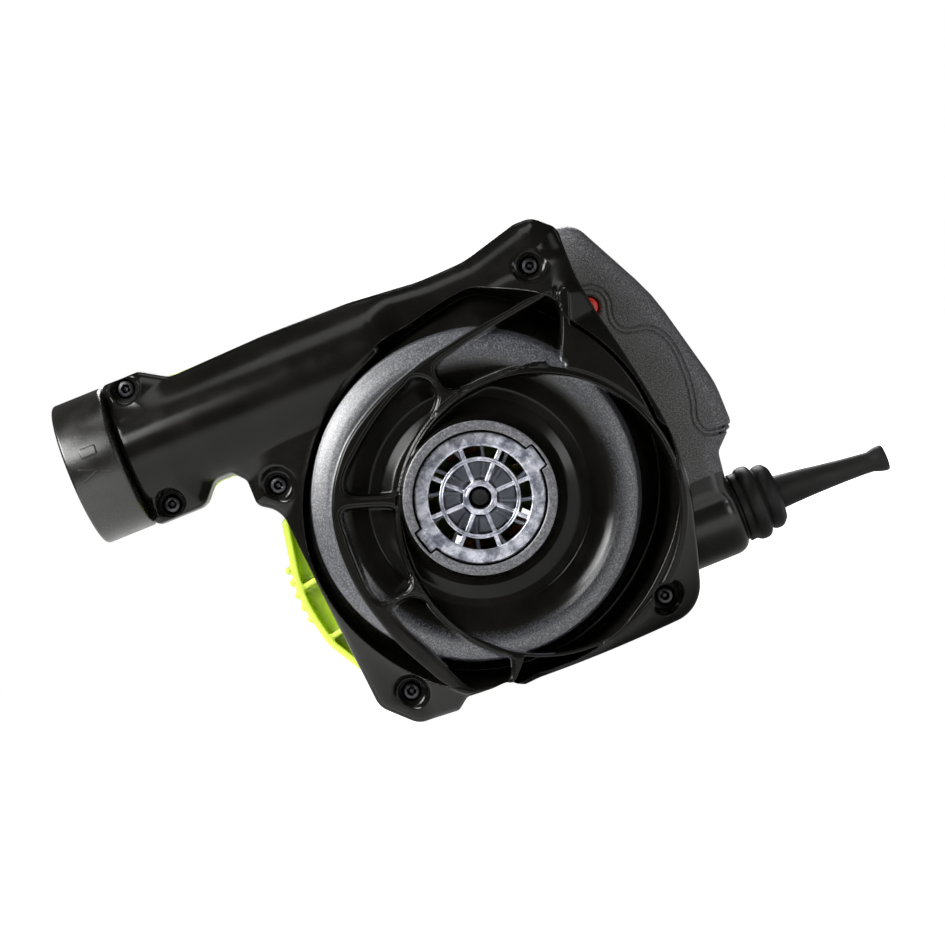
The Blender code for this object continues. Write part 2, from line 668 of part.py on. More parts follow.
def brush_gear(name, side):
    """Carbon brush in its brass holder, with the spring behind it and the screw cap outside."""
    def along(near, far):
        return sorted((side * near, side * far))
    low, high = along(14.2, 40.4)
    holder = rod(
        f"brush_holder_{name}", (low, BRUSH_DEPTH, 0), (high, BRUSH_DEPTH, 0), 7.4, BRASS, count=20,
    )
    low, high = along(10, 44)
    cut(holder, block(f"brush_slot_{name}", (low, BRUSH_DEPTH - 3.3, -4.3), (high, BRUSH_DEPTH + 3.3, 4.3)))
    low, high = along(12.4, 25)
    block(f"carbon_brush_{name}", (low, BRUSH_DEPTH - 3, -4), (high, BRUSH_DEPTH + 3, 4), CARBON)
    near, far = (side * 41.5, BRUSH_DEPTH, 0), (side * 44.2, BRUSH_DEPTH, 0)
    cap = rod(f"brush_cap_{name}", near, far, 8.2, BLACK, count=24)
    low, high = along(43.2, 46)
    cut(cap, block(f"cap_slot_{name}", (low, BRUSH_DEPTH - 6, -0.7), (high, BRUSH_DEPTH + 6, 0.7)))
    wire = []
    turns, steps = 4, 6
    for index in range(turns * steps + 1):
        swing = math.tau * index / steps
        reach = side * (25.7 + 14.6 * index / (turns * steps))
        wire.append(spot((reach, 2.4 * math.sin(swing)), BRUSH_DEPTH + 2.4 * math.cos(swing)))
    coil(f"brush_spring_{name}", wire, 0.25)


def motor_end_cap():
    """Cap over the back of the motor barrel, with air slots and the rear bearing seat."""
    front = BARREL_END + GAP
    profile = [
        (0, WIDTH), (30, WIDTH), (37, WIDTH - 2.5), (40.4, WIDTH - 8), (BARREL_RADIUS, front), (38, front),
        (37.4, WIDTH - 9), (34.5, WIDTH - 5), (29, WIDTH - 3), (13, WIDTH - 3),
        (13, 142), (9.9, 142), (9.9, 150), (0, 150),
    ]
    body = turned("motor_end_cap", profile, BLACK, steps=22)
    for index, angle in enumerate(EAR_ANGLES):
        join(body, post(f"cap_ear_{index}", polar(EAR_RADIUS, angle), front + 0.1, front + 5, 5))
        cut(body, post(f"cap_ear_hole_{index}", polar(EAR_HOLE, angle), front - 1, front + 6, 1.8, count=8))
    for index in range(8):
        angle = math.radians(45 * index)
        first, last = (16, WIDTH - 7, -2.2), (33, WIDTH + 1, 2.2)
        cut(body, block(f"air_slot_{index}", first, last, turn=angle, pivot=(0, 0)))
    return body


def cap_screws():
    for index, angle in enumerate(EAR_ANGLES):
        place = polar(EAR_HOLE, angle)
        head = BARREL_END + 5.9
        profile = [
            (0, head + 2.2), (2.2, head + 2.2), (3.1, head + 1.2), (3.1, head),
            (1.5, head), (1.5, 138), (0, 138),
        ]
        made = turned(f"cap_screw_{index + 1}", profile, STEEL, steps=12, centre=place)
        x, z = place
        first, last = (x - 2.2, head + 1.2, z - 0.4), (x + 2.2, head + 4, z + 0.4)
        cut(made, block(f"cap_screw_slot_{index}", first, last))


def handle_shell(name, front, back, bosses):
    """One half of the rear handle, hollow in the grip and the tail, cut to fit round the motor barrel."""
    low, high = HANDLE_DEPTH - HANDLE_HALF, HANDLE_DEPTH + HANDLE_HALF
    body = plate(name, [rounded(HANDLE_OUTLINE)], low, high, GREY)
    end = (TAIL_END, HANDLE_DEPTH, TAIL_Z)
    join(body, rod(name + "_tail", (46, HANDLE_DEPTH, TAIL_Z), end, TAIL_RADIUS))
    cut(body, rod(name + "_barrel_seat", (0, 60, 0), (0, 120, 0), BARREL_RADIUS + 0.6, count=32))
    cut(body, plate(name + "_cavity", [rounded(GRIP_CAVITY)], low + WALL, high - WALL))
    past = (TAIL_END + 2, HANDLE_DEPTH, TAIL_Z)
    cut(body, rod(name + "_tail_bore", (64, HANDLE_DEPTH, TAIL_Z), past, 15.4))
    for index, place in enumerate(bosses):
        join(body, post(f"{name}_boss_{index}", place, low + 1, high - 1, 4.4))
    return cut(body, split_block(name + "_trim", front, back))


def grip_frame():
    """Middle of the trigger on the inner edge of the grip, with unit vectors along and into the grip."""
    along = (GRIP_FOOT - GRIP_TOP).normalized()
    inward = Vector((-along.y, along.x))
    return GRIP_TOP.lerp(GRIP_FOOT, TRIGGER_ALONG), along, inward


def grip_outline(corners):
    middle, along, inward = grip_frame()
    return rounded([(*(middle + along * far + inward * deep), radius) for far, deep, radius in corners])


def handle():
    split = HANDLE_DEPTH
    grip_bosses = HANDLE_SCREWS[:2]
    front = handle_shell("handle_front", split - GAP / 2, 140, grip_bosses)
    rear = handle_shell("handle_rear", 40, split + GAP / 2, grip_bosses)
    window = grip_outline([(-13.5, -14, 1), (13.5, -14, 1), (13.5, 9, 1), (-13.5, 9, 1)])
    for body in (front, rear):
        cut(body, plate(body.name + "_trigger_window", [window], split - 8.6, split + 8.6))
    cut(front, post("lock_hole", LOCK_PLACE, 60, 72, 5.0, count=24))
    cut(rear, post("lock_room", LOCK_PLACE, split - 4, split + 10, 5.0, count=12))
    for index, place in enumerate(HANDLE_SCREWS):
        cut(front, post(f"front_pilot_{index}", place, 78, split + 2, THREAD_HOLE, count=12))
        cut(rear, post(f"rear_hole_{index}", place, split - 2, 110, THREAD_HOLE, count=12))
        cut(rear, post(f"rear_recess_{index}", place, split + HANDLE_HALF - 4, 110, 4.4, count=16))
        screw(f"handle_screw_{index + 1}", place, split + HANDLE_HALF - 1.3, 23, facing=-1)
    for index, offset in enumerate((-8.5, 8.5)):
        place = (84, TAIL_Z + offset)
        join(front, post(f"clamp_boss_{index}", place, split - 15, split - 3, 2.9, count=12))
        cut(front, post(f"clamp_pilot_{index}", place, split - 11, split, 1.5, count=10))


def controls():
    """Trigger, switch, lock-on button and the small electrical parts in the grip."""
    split = HANDLE_DEPTH
    trigger = grip_outline([(-12.6, -9, 5), (12.6, -7, 4), (12.9, 7.5, 1), (-12.9, 7.5, 1)])
    rest_on(plate("trigger", [trigger], split - 8.1, split + 8.1, BLACK), spot(grip_frame()[0], split))
    body = grip_outline([(-12, 13.2, 1), (13, 13.2, 1), (13, 29, 1), (-12, 29, 1)])
    plate("switch", [body], split - 10, split + 10, BAKELITE)
    button = [(0, 64.6), (3.6, 64.6), (4.5, 65.6), (4.5, 76), (0, 76)]
    turned("lock_button", button, RED, steps=24, centre=LOCK_PLACE)
    capacitor = rounded([(92, -14, 1), (108, -14, 1), (108, 6, 1), (92, 6, 1)])
    plate("capacitor", [capacitor], split - 6, split + 6, FILM)
    terminals = rounded([(84, -33.5, 1), (95.5, -33.5, 1), (95.5, -22, 1), (84, -22, 1)])
    plate("terminal_block", [terminals], split - 9, split + 9, BAKELITE)


def lock_spring():
    """Return spring of the lock-on button, drawn at the length it has with the button pressed."""
    wire = []
    turns, steps = 4, 6
    for index in range(turns * steps + 1):
        across, up = polar(2.6, 360 * index / steps)
        place = (LOCK_PLACE[0] + across, LOCK_PLACE[1] + up)
        wire.append(spot(place, 80.0 + 14.0 * index / (turns * steps)))
    coil("lock_spring", wire, 0.3)


def sleeve_rings(shape, count):
    """Round sections of the drooping sleeve, from (x, drop, radius)."""
    return [
        [spot((x, TAIL_Z + drop + radius * up), HANDLE_DEPTH + radius * across)
         for across, up in circle((0, 0), 1, count)]
        for x, drop, radius in shape
    ]


def cord_fittings():
    """Clamp bar and its screws in the tail, the ribbed gland collar and the tapered cord sleeve."""
    split = HANDLE_DEPTH
    low, high = TAIL_Z - 12, TAIL_Z + 12
    bar = rounded([(80, low, 2), (88, low, 2), (88, high, 2), (80, high, 2)], 90)
    clamp = plate("cord_clamp", [bar], split - 2.6, split + 0.6, BAKELITE)
    for index, offset in enumerate((-8.5, 8.5)):
        place = (84, TAIL_Z + offset)
        cut(clamp, post(f"clamp_hole_{index}", place, split - 6, split + 6, 1.6, count=8))
        head = split + 0.9
        tip = split - 9
        profile = [(0, head + 1.8), (2.4, head + 1.8), (2.4, head), (1.2, head), (1.2, tip), (0, tip)]
        turned(f"clamp_screw_{index + 1}", profile, STEEL, steps=10, centre=place)
    ridges = [(8.4, 96), (15.0, 96), (15.0, TAIL_END + 0.4), (17.0, TAIL_END + 1.2)]
    for centre, radius, half in ((115.2, 17.6, 3.6), (123.2, 15.6, 3.2)):
        ridges += [
            (radius - 1.8, centre - half), (radius, centre - half / 2),
            (radius, centre + half / 2), (radius - 1.8, centre + half),
        ]
    ridges += [(12.5, 127.8), (8.4, 127.8)]
    turned("gland_collar", ridges, RUBBER, steps=24, centre=(0, TAIL_Z), along_x=split)
    shape = [
        (93, 0, 10), (95.2, 0, 10), (95.4, 0, 7.9), (128, 0, 7.9), (134, -0.2, 7.3),
        (150, -1.2, 6.0), (168, -2.5, 4.9), (173, -2.9, 4.8), (177, -3.2, 6.0), (TIP_X, -3.4, 6.1),
    ]
    bore = [(91, 0, 3.3), (128, 0, 3.3), (150, -1.2, 3.2), (TIP_X + 2, -3.4, 3.2)]
    sleeve = loft("cord_sleeve", sleeve_rings(shape, 16), RUBBER)
    cut(sleeve, loft("sleeve_bore", sleeve_rings(bore, 10)))


def scroll_screws():
    for name, (place, face, _) in SCROLL_SCREWS.items():
        head = face + HEAD_SINK
        screw(name, place, head, THREAD_TIP - head)


front_cover()
rear_housing()
outlet_collar()
inlet_guard()
impeller()
fan_fixings()
rotor()
bearing("bearing_front", 68, 8, 11)
bearing("bearing_rear", 142.4, 5.6, 9.5)
stator()
for side_name, side_sign in (("left", -1), ("right", 1)):
    brush_gear(side_name, side_sign)
motor_end_cap()
cap_screws()
handle()
controls()
lock_spring()
cord_fittings()
scroll_screws()
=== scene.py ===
"""Looks of the handheld blower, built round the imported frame.

Shapes are given in millimetres from the fan axis: x to the handle, z up, and a depth counted from the
face of the intake ring towards the motor. Moulded parts are drawn as distance fields and meshed.
"""
import functools
import math

import bmesh
import bpy
import numpy as np
from mathutils import Matrix, Vector


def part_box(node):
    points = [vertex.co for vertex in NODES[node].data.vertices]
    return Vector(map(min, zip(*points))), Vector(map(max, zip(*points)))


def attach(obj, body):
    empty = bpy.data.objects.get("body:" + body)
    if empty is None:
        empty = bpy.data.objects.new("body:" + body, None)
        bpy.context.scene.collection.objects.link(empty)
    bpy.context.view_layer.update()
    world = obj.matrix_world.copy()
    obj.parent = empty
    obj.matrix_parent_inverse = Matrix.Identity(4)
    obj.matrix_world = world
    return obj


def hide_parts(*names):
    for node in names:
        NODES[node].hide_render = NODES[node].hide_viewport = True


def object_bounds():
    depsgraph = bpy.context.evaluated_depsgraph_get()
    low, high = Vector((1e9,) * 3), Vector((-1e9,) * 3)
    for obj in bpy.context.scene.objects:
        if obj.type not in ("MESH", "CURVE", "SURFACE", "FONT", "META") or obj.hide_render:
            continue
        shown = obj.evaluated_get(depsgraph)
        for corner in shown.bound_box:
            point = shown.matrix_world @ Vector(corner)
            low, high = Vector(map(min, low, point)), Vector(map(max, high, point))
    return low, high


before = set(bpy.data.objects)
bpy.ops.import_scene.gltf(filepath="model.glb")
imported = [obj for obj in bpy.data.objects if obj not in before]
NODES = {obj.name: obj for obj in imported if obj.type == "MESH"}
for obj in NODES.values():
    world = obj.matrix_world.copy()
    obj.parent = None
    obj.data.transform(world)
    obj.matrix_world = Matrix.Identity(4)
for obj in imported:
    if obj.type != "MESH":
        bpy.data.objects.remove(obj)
cad_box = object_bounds()
MM = 0.001
shaft_low, shaft_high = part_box("motor_shaft")
FAN_X = (shaft_low.x + shaft_high.x) / 2
FAN_Z = (shaft_low.z + shaft_high.z) / 2
FACE_Y = cad_box[0].y
ZERO = np.array([FAN_X, FACE_Y, FAN_Z])
COARSE = 1.0

# -------- places


def spot(x, depth, z):
    return Vector((FAN_X + x * MM, FACE_Y + depth * MM, FAN_Z + z * MM))


def polar(radius, degrees):
    return radius * math.cos(math.radians(degrees)), radius * math.sin(math.radians(degrees))


# -------- distance fields


def axes(low, high, step):
    """Open grid of x, depth and z between two corners."""
    lines = []
    for start, end in zip(low, high):
        lines.append(start + step * np.arange(int((end - start) / step) + 2, dtype=np.float32))
    return lines[0][:, None, None], lines[1][None, :, None], lines[2][None, None, :]


def smin(a, b, k):
    """Union of two fields with a fillet of about k."""
    h = np.maximum(k - np.abs(a - b), 0) / k
    return np.minimum(a, b) - h * h * k / 4


def smax(a, b, k):
    """Overlap of two fields with an edge rounded by about k."""
    return -smin(-a, -b, k)


def union(fields):
    return functools.reduce(np.minimum, fields)


def overlap(fields):
    return functools.reduce(np.maximum, fields)


def step_up(low, high, value):
    """Smooth step from 0 at low to 1 at high."""
    t = np.clip((value - low) / (high - low), 0, 1)
    return t * t * (3 - 2 * t)


def line_distance(x, z, path, closed=False):
    """Distance to a line of straight pieces through points."""
    best = None
    ends = list(zip(path, path[1:]))
    if closed:
        ends.append((path[-1], path[0]))
    for (ax, az), (bx, bz) in ends:
        ux, uz = bx - ax, bz - az
        t = np.clip(((x - ax) * ux + (z - az) * uz) / max(ux * ux + uz * uz, 1e-9), 0, 1)
        found = (x - ax - t * ux) ** 2 + (z - az - t * uz) ** 2
        best = found if best is None else np.minimum(best, found)
    return np.sqrt(best)


def outline_distance(x, z, path):
    """Signed distance to a closed outline, negative inside."""
    inside = np.zeros(np.broadcast(x, z).shape, bool)
    for (ax, az), (bx, bz) in zip(path, path[1:] + path[:1]):
        if az != bz:
            crosses = (z > az) != (z > bz)
            inside ^= crosses & (x < ax + (z - az) * (bx - ax) / (bz - az))
    distance = line_distance(x, z, path, True)
    return np.where(inside, -distance, distance)


def ball(x, z, place, radius):
    return np.hypot(x - place[0], z - place[1]) - radius


def slab(value, low, high):
    return np.abs(value - (low + high) / 2) - (high - low) / 2


def strip(x, z, first, last, width):
    return line_distance(x, z, [first, last]) - width / 2


def turned_about(x, z, degrees, centre=(0, 0)):
    """x and z measured along a direction turned from +X."""
    c, s = math.cos(math.radians(degrees)), math.sin(math.radians(degrees))
    dx, dz = x - centre[0], z - centre[1]
    return dx * c + dz * s, dz * c - dx * s


def prism(x, z, pairs, first, half_width):
    """Regular outline with pairs of opposite flats, the first facing an angle."""
    return overlap(np.abs(turned_about(x, z, first + 180.0 / pairs * index)[0]) - half_width
                   for index in range(pairs))


def rounded(corners, step=8.0):
    """Closed outline through (x, z, radius) corners, each corner turned into an arc."""
    outline = []
    for index, (x, z, radius) in enumerate(corners):
        corner = Vector((x, z))
        back = (Vector(corners[index - 1][:2]) - corner).normalized()
        ahead = (Vector(corners[(index + 1) % len(corners)][:2]) - corner).normalized()
        half = back.angle(ahead) / 2
        centre = corner + (back + ahead).normalized() * radius / math.sin(half)
        first = corner + back * radius / math.tan(half) - centre
        turn = first.angle_signed(corner + ahead * radius / math.tan(half) - centre)
        pieces = max(1, round(abs(math.degrees(turn)) / step))
        for k in range(pieces + 1):
            outline.append(tuple(centre + first @ Matrix.Rotation(turn * k / pieces, 2)))
    return outline


def smooth_path(points, closed=True, cuts=5):
    """Catmull-Rom curve through points."""
    pts = [Vector(p) for p in points]
    n = len(pts)
    out = []
    for i in range(n if closed else n - 1):
        around = range(i - 1, i + 3)
        a, b, c, d = [pts[k % n] if closed else pts[min(max(k, 0), n - 1)] for k in around]
        for j in range(cuts):
            t = j / cuts
            curved = (2 * a - 5 * b + 4 * c - d) * t * t + (3 * b - a - 3 * c + d) * t ** 3
            out.append(tuple(0.5 * (2 * b + (c - a) * t + curved)))
    if not closed:
        out.append(tuple(pts[-1]))
    return out


# -------- meshes


def add_object(name, data):
    """New object in the scene."""
    made = bpy.data.objects.new(name, data)
    bpy.context.scene.collection.objects.link(made)
    return made


def mesh_object(name, points, faces):
    """Object from an array of points in metres and an array of quads or triangles."""
    mesh = bpy.data.meshes.new(name)
    sides = faces.shape[1]
    mesh.vertices.add(len(points))
    mesh.vertices.foreach_set("co", np.ascontiguousarray(points, np.float32).ravel())
    mesh.loops.add(faces.size)
    mesh.loops.foreach_set("vertex_index", np.ascontiguousarray(faces, np.int32).ravel())
    mesh.polygons.add(len(faces))
    mesh.polygons.foreach_set("loop_start", np.arange(0, faces.size, sides, dtype=np.int32))
    mesh.update(calc_edges=True)
    mesh.validate()
    mesh.shade_smooth()
    return add_object(name, mesh)


def contour(name, field, low, step):
    """Surface nets: a point in each cell that the zero level crosses, a quad for each crossed edge."""
    field = field.astype(np.float32)
    inside = field < 0
    cells = np.array(field.shape) - 1
    strides = np.array([cells[1] * cells[2], cells[2], 1])
    found_cells, found_points, quads = [], [], []
    for axis in range(3):
        u, v = (axis + 1) % 3, (axis + 2) % 3
        first = [slice(None)] * 3
        last = [slice(None)] * 3
        first[axis], last[axis] = slice(0, -1), slice(1, None)
        crossed = inside[tuple(first)] != inside[tuple(last)]
        index = np.argwhere(crossed)
        keep = (index[:, [u, v]] > 0) & (index[:, [u, v]] < cells[[u, v]])
        index = index[keep.all(axis=1)]
        after = index.copy()
        after[:, axis] += 1
        near = field[index[:, 0], index[:, 1], index[:, 2]]
        far = field[after[:, 0], after[:, 1], after[:, 2]]
        point = index.astype(np.float32)
        point[:, axis] += near / (near - far)
        flat = index @ strides
        four = np.stack([flat, flat - strides[u], flat - strides[u] - strides[v], flat - strides[v]], 1)
        four[near > 0] = four[near > 0][:, ::-1]
        quads.append(four)
        for corner in range(4):
            found_cells.append(four[:, corner])
            found_points.append(point)
    quads = np.concatenate(quads)
    found_cells = np.concatenate(found_cells)
    found_points = np.concatenate(found_points)
    lookup = np.full(int(cells.prod()), -1, np.int32)
    lookup[found_cells] = 0
    used = np.flatnonzero(lookup == 0)
    lookup[used] = np.arange(len(used), dtype=np.int32)
    slot = lookup[found_cells]
    count = np.bincount(slot, minlength=len(used))
    points = np.stack([np.bincount(slot, found_points[:, k], len(used)) / count for k in range(3)], 1)
    points = np.array(low) + points * step
    return mesh_object(name, points * MM + ZERO, lookup[quads])


def cast(name, shape, low, high, step):
    """Mesh of shape(x, depth, z), a field that is negative inside."""
    step = step * COARSE
    low = [value - 2.13 * step for value in low]
    high = [value + 2 * step for value in high]
    x, d, z = axes(low, high, step)
    field = np.broadcast_to(shape(x, d, z), (x.shape[0], d.shape[1], z.shape[2]))
    return contour(name, field, low, step)


def closed_grid(count, steps):
    """Quads between rings of points, where the last ring joins the first."""
    row, col = np.meshgrid(np.arange(count), np.arange(steps), indexing="ij")
    down, right = (row + 1) % count, (col + 1) % steps
    corners = [row * steps + col, row * steps + right, down * steps + right, down * steps + col]
    return np.stack(corners, 2).reshape(-1, 4)


def settle(made, weld=False):
    """Turn all faces outwards and shade them smooth."""
    work = bmesh.new()
    work.from_mesh(made.data)
    if weld:
        bmesh.ops.remove_doubles(work, verts=work.verts, dist=1e-6)
        bmesh.ops.dissolve_degenerate(work, edges=work.edges, dist=1e-7)
    bmesh.ops.recalc_face_normals(work, faces=work.faces)
    work.to_mesh(made.data)
    work.free()
    made.data.shade_smooth()
    return made


def lathe(name, profile, centre=(0, 0), along_x=None, steps=96, bevel=0.4):
    """Turned body from a closed list of (radius, distance) corners with small rounded edges."""
    ring = []
    for index, corner in enumerate(profile):
        if corner[0] == 0:
            ring.append(corner)
            continue
        here = Vector(corner)
        back = Vector(profile[index - 1]) - here
        ahead = Vector(profile[(index + 1) % len(profile)]) - here
        cutback = min(bevel, back.length * 0.45, ahead.length * 0.45)
        a, b = here + back.normalized() * cutback, here + ahead.normalized() * cutback
        for k in range(4):
            t = k / 3
            ring.append(tuple(a * (1 - t) ** 2 + here * 2 * t * (1 - t) + b * t * t))
    ring = np.array(ring)
    angles = np.arange(steps) * math.tau / steps
    radius, far = ring[:, 0], ring[:, 1]
    across, up = radius[:, None] * np.cos(angles), radius[:, None] * np.sin(angles)
    depth = np.broadcast_to(far[:, None], across.shape)
    if along_x is None:
        points = np.stack([across + centre[0], depth, up + centre[1]], 2)
    else:
        points = np.stack([depth, across + along_x, up + centre[1]], 2)
    points = points.reshape(-1, 3) * MM + ZERO
    made = settle(mesh_object(name, points, closed_grid(len(ring), steps)), weld=True)
    made.data.set_sharp_from_angle(angle=math.radians(45))
    return made


def tube(name, rings):
    """Body through rings of points given as (x, depth, z), closed on itself."""
    points = np.array(rings)
    count, steps = points.shape[:2]
    return settle(mesh_object(name, points.reshape(-1, 3) * MM + ZERO, closed_grid(count, steps)))


# -------- materials


class Graph:
    """Short way to write a material's nodes."""

    def __init__(self, name):
        self.made = bpy.data.materials.new(name)
        self.made.use_nodes = True
        self.tree = self.made.node_tree
        self.shader = self.tree.nodes["Principled BSDF"]
        self.place = self.node("ShaderNodeTexCoord").outputs["Object"]

    def node(self, kind, **settings):
        made = self.tree.nodes.new(kind)
        for key, value in settings.items():
            setattr(made, key, value)
        return made

    def link(self, source, target):
        if isinstance(source, (int, float)):
            target.default_value = source
        else:
            self.tree.links.new(source, target)

    def feed(self, value, socket):
        """Drive one of the shader's inputs."""
        self.link(value, self.shader.inputs[socket])

    def math(self, operation, a, b=0.0):
        made = self.node("ShaderNodeMath", operation=operation)
        self.link(a, made.inputs[0])
        self.link(b, made.inputs[1])
        return made.outputs[0]

    def noise(self, scale, detail, rough=0.5):
        made = self.node("ShaderNodeTexNoise")
        made.inputs["Scale"].default_value = scale
        made.inputs["Detail"].default_value = detail
        made.inputs["Roughness"].default_value = rough
        self.link(self.place, made.inputs["Vector"])
        return made.outputs["Fac"]

    def ramp(self, value, low, high, out_low=0.0, out_high=1.0):
        made = self.node("ShaderNodeMapRange", interpolation_type="SMOOTHSTEP")
        limits = {"From Min": low, "From Max": high, "To Min": out_low, "To Max": out_high}
        for socket, number in limits.items():
            made.inputs[socket].default_value = number
        self.link(value, made.inputs["Value"])
        return made.outputs["Result"]

    def mix(self, fac, a, b):
        made = self.node("ShaderNodeMix", data_type="RGBA")
        self.link(fac, made.inputs["Factor"])
        for socket, colour in ((made.inputs["A"], a), (made.inputs["B"], b)):
            if isinstance(colour, tuple):
                socket.default_value = (*colour, 1.0)
            else:
                self.link(colour, socket)
        return made.outputs["Result"]

    def blend(self, fac, a, b):
        made = self.node("ShaderNodeMix", data_type="FLOAT")
        self.link(fac, made.inputs["Factor"])
        self.link(a, made.inputs["A"])
        self.link(b, made.inputs["B"])
        return made.outputs["Result"]

    def bump(self, height, distance, strength=1.0):
        made = self.node("ShaderNodeBump")
        self.link(strength, made.inputs["Strength"])
        made.inputs["Distance"].default_value = distance
        self.link(height, made.inputs["Height"])
        self.feed(made.outputs["Normal"], "Normal")

    def set(self, **values):
        for key, value in values.items():
            self.shader.inputs[key].default_value = value

    def gloss(self, scale, detail, low, high):
        """Roughness that varies between two values."""
        value = self.ramp(self.noise(scale, detail), 0.3, 0.7, low, high)
        self.feed(value, "Roughness")

    def along(self, axis, start):
        """Distance of the shaded point along X, Y or Z from a start."""
        made = self.node("ShaderNodeSeparateXYZ")
        self.link(self.place, made.inputs[0])
        return self.math("SUBTRACT", made.outputs[axis], start)


CLOUD_SCALE = 45.0


def moulded(name, low, high, rough_low, rough_high, grain=900.0, depth=0.00002, **values):
    """Plastic with slight cloudiness in its colour and gloss and a fine grain."""
    g = Graph(name)
    cloud = g.noise(CLOUD_SCALE, 3.0)
    g.feed(g.mix(g.ramp(cloud, 0.35, 0.65), low, high), "Base Color")
    g.gloss(CLOUD_SCALE * 2.3, 4.0, rough_low, rough_high)
    g.bump(g.noise(grain, 2.0), depth)
    g.set(**values)
    return g.made


def metal(name, low, high, rough_low, rough_high, scale=300.0):
    g = Graph(name)
    cloud = g.noise(scale, 3.0)
    g.feed(g.mix(cloud, low, high), "Base Color")
    g.gloss(scale * 3, 3.0, rough_low, rough_high)
    g.bump(g.noise(scale * 5, 2.0), 0.00001)
    g.set(Metallic=1.0)
    return g.made


def cover_plastic():
    """Satin black with a spark-textured band on the dome and on the face of the intake ring."""
    g = Graph("cover_black")
    dx = g.along("X", FAN_X)
    dz = g.along("Z", FAN_Z)
    radius = g.math("SQRT", g.math("ADD", g.math("MULTIPLY", dx, dx), g.math("MULTIPLY", dz, dz)))
    depth = g.along("Y", FACE_Y)
    band = g.math("MULTIPLY", g.ramp(radius, 0.0565, 0.0650), g.ramp(radius, 0.0745, 0.0735))
    band = g.math("MULTIPLY", band, g.ramp(depth, 0.0083, 0.0088))
    band = g.math("MULTIPLY", band, g.ramp(depth, 0.0160, 0.0138))
    ring = g.math("MULTIPLY", g.ramp(radius, 0.0342, 0.0336), g.ramp(depth, 0.0008, 0.0004))
    cloud = g.ramp(g.noise(38.0, 3.0), 0.35, 0.65)
    speck = g.ramp(g.noise(1500.0, 2.0, 0.6), 0.42, 0.66)
    plain = g.mix(cloud, (0.0026, 0.0025, 0.0020), (0.0044, 0.0042, 0.0035))
    spark = g.mix(speck, (0.011, 0.0113, 0.0130), (0.090, 0.092, 0.106))
    light = g.mix(speck, (0.035, 0.035, 0.039), (0.13, 0.13, 0.144))
    colour = g.mix(band, plain, spark)
    g.feed(g.mix(ring, colour, light), "Base Color")
    texture = g.math("MAXIMUM", band, ring)
    smooth = g.ramp(g.noise(110.0, 4.0), 0.3, 0.7, 0.16, 0.23)
    g.feed(g.blend(texture, smooth, 0.40), "Roughness")
    fine = g.noise(1300.0, 3.0, 0.6)
    g.bump(fine, 0.00012, g.ramp(texture, 0.0, 1.0, 0.05, 0.8))
    g.feed(g.blend(texture, 0.18, 0.8), "Specular IOR Level")
    return g.made


def handle_plastic():
    """Spark-textured dark grey that turns smooth and black on the tail below the grip."""
    g = Graph("handle_grey")
    height = g.along("Z", FAN_Z)
    textured = g.ramp(height, -0.0306, -0.0300)
    speck = g.ramp(g.noise(1500.0, 2.0, 0.6), 0.40, 0.68)
    cloud = g.ramp(g.noise(60.0, 4.0), 0.35, 0.65)
    base = g.mix(cloud, (0.028, 0.027, 0.029), (0.042, 0.041, 0.045))
    grain = g.mix(g.math("MULTIPLY", speck, 0.6), base, (0.20, 0.195, 0.215))
    plain = g.mix(cloud, (0.0060, 0.0058, 0.0050), (0.0100, 0.0096, 0.0088))
    g.feed(g.mix(textured, plain, grain), "Base Color")
    rough = g.ramp(g.noise(400.0, 3.0), 0.3, 0.7, 0.42, 0.6)
    g.feed(g.blend(textured, 0.27, rough), "Roughness")
    g.bump(g.noise(1300.0, 2.0, 0.6), 0.00010, g.ramp(textured, 0.0, 1.0, 0.05, 0.8))
    return g.made


def green_plastic():
    """Lime plastic with painted light: paler on the rim of the wing, standing for light that shines
    through its thin edges.
    """
    g = Graph("lime_green")
    depth = g.along("Y", FACE_Y)
    # painted light: the front rim of the wing is mixed towards a paler green, standing for light shining
    # through its thin edges
    painted_edge_light = g.math("MULTIPLY", g.ramp(depth, 0.0505, 0.0490), 0.85)
    cloud = g.ramp(g.noise(45.0, 3.0), 0.35, 0.65)
    deep = g.mix(cloud, (0.36, 0.52, 0.006), (0.43, 0.58, 0.011))
    g.feed(g.mix(painted_edge_light, deep, (0.48, 0.61, 0.075)), "Base Color")
    g.gloss(100.0, 4.0, 0.28, 0.42)
    g.bump(g.noise(900.0, 2.0), 0.00002)
    return g.made


def guard_plastic():
    """Silvery clear plastic with streaks and scuffs."""
    g = Graph("guard_silver")
    streak = g.noise(160.0, 5.0, 0.65)
    scuff = g.ramp(g.noise(700.0, 3.0, 0.7), 0.45, 0.75)
    tone = g.mix(g.ramp(streak, 0.35, 0.65), (0.11, 0.117, 0.15), (0.60, 0.61, 0.68))
    worn = g.mix(g.math("MULTIPLY", scuff, 0.5), tone, (0.20, 0.21, 0.25))
    g.feed(worn, "Base Color")
    g.gloss(260.0, 4.0, 0.12, 0.38)
    g.bump(g.noise(420.0, 5.0, 0.6), 0.0003, 0.7)
    g.set(Metallic=0.55, **{"Coat Weight": 0.6, "Coat Roughness": 0.1})
    return g.made


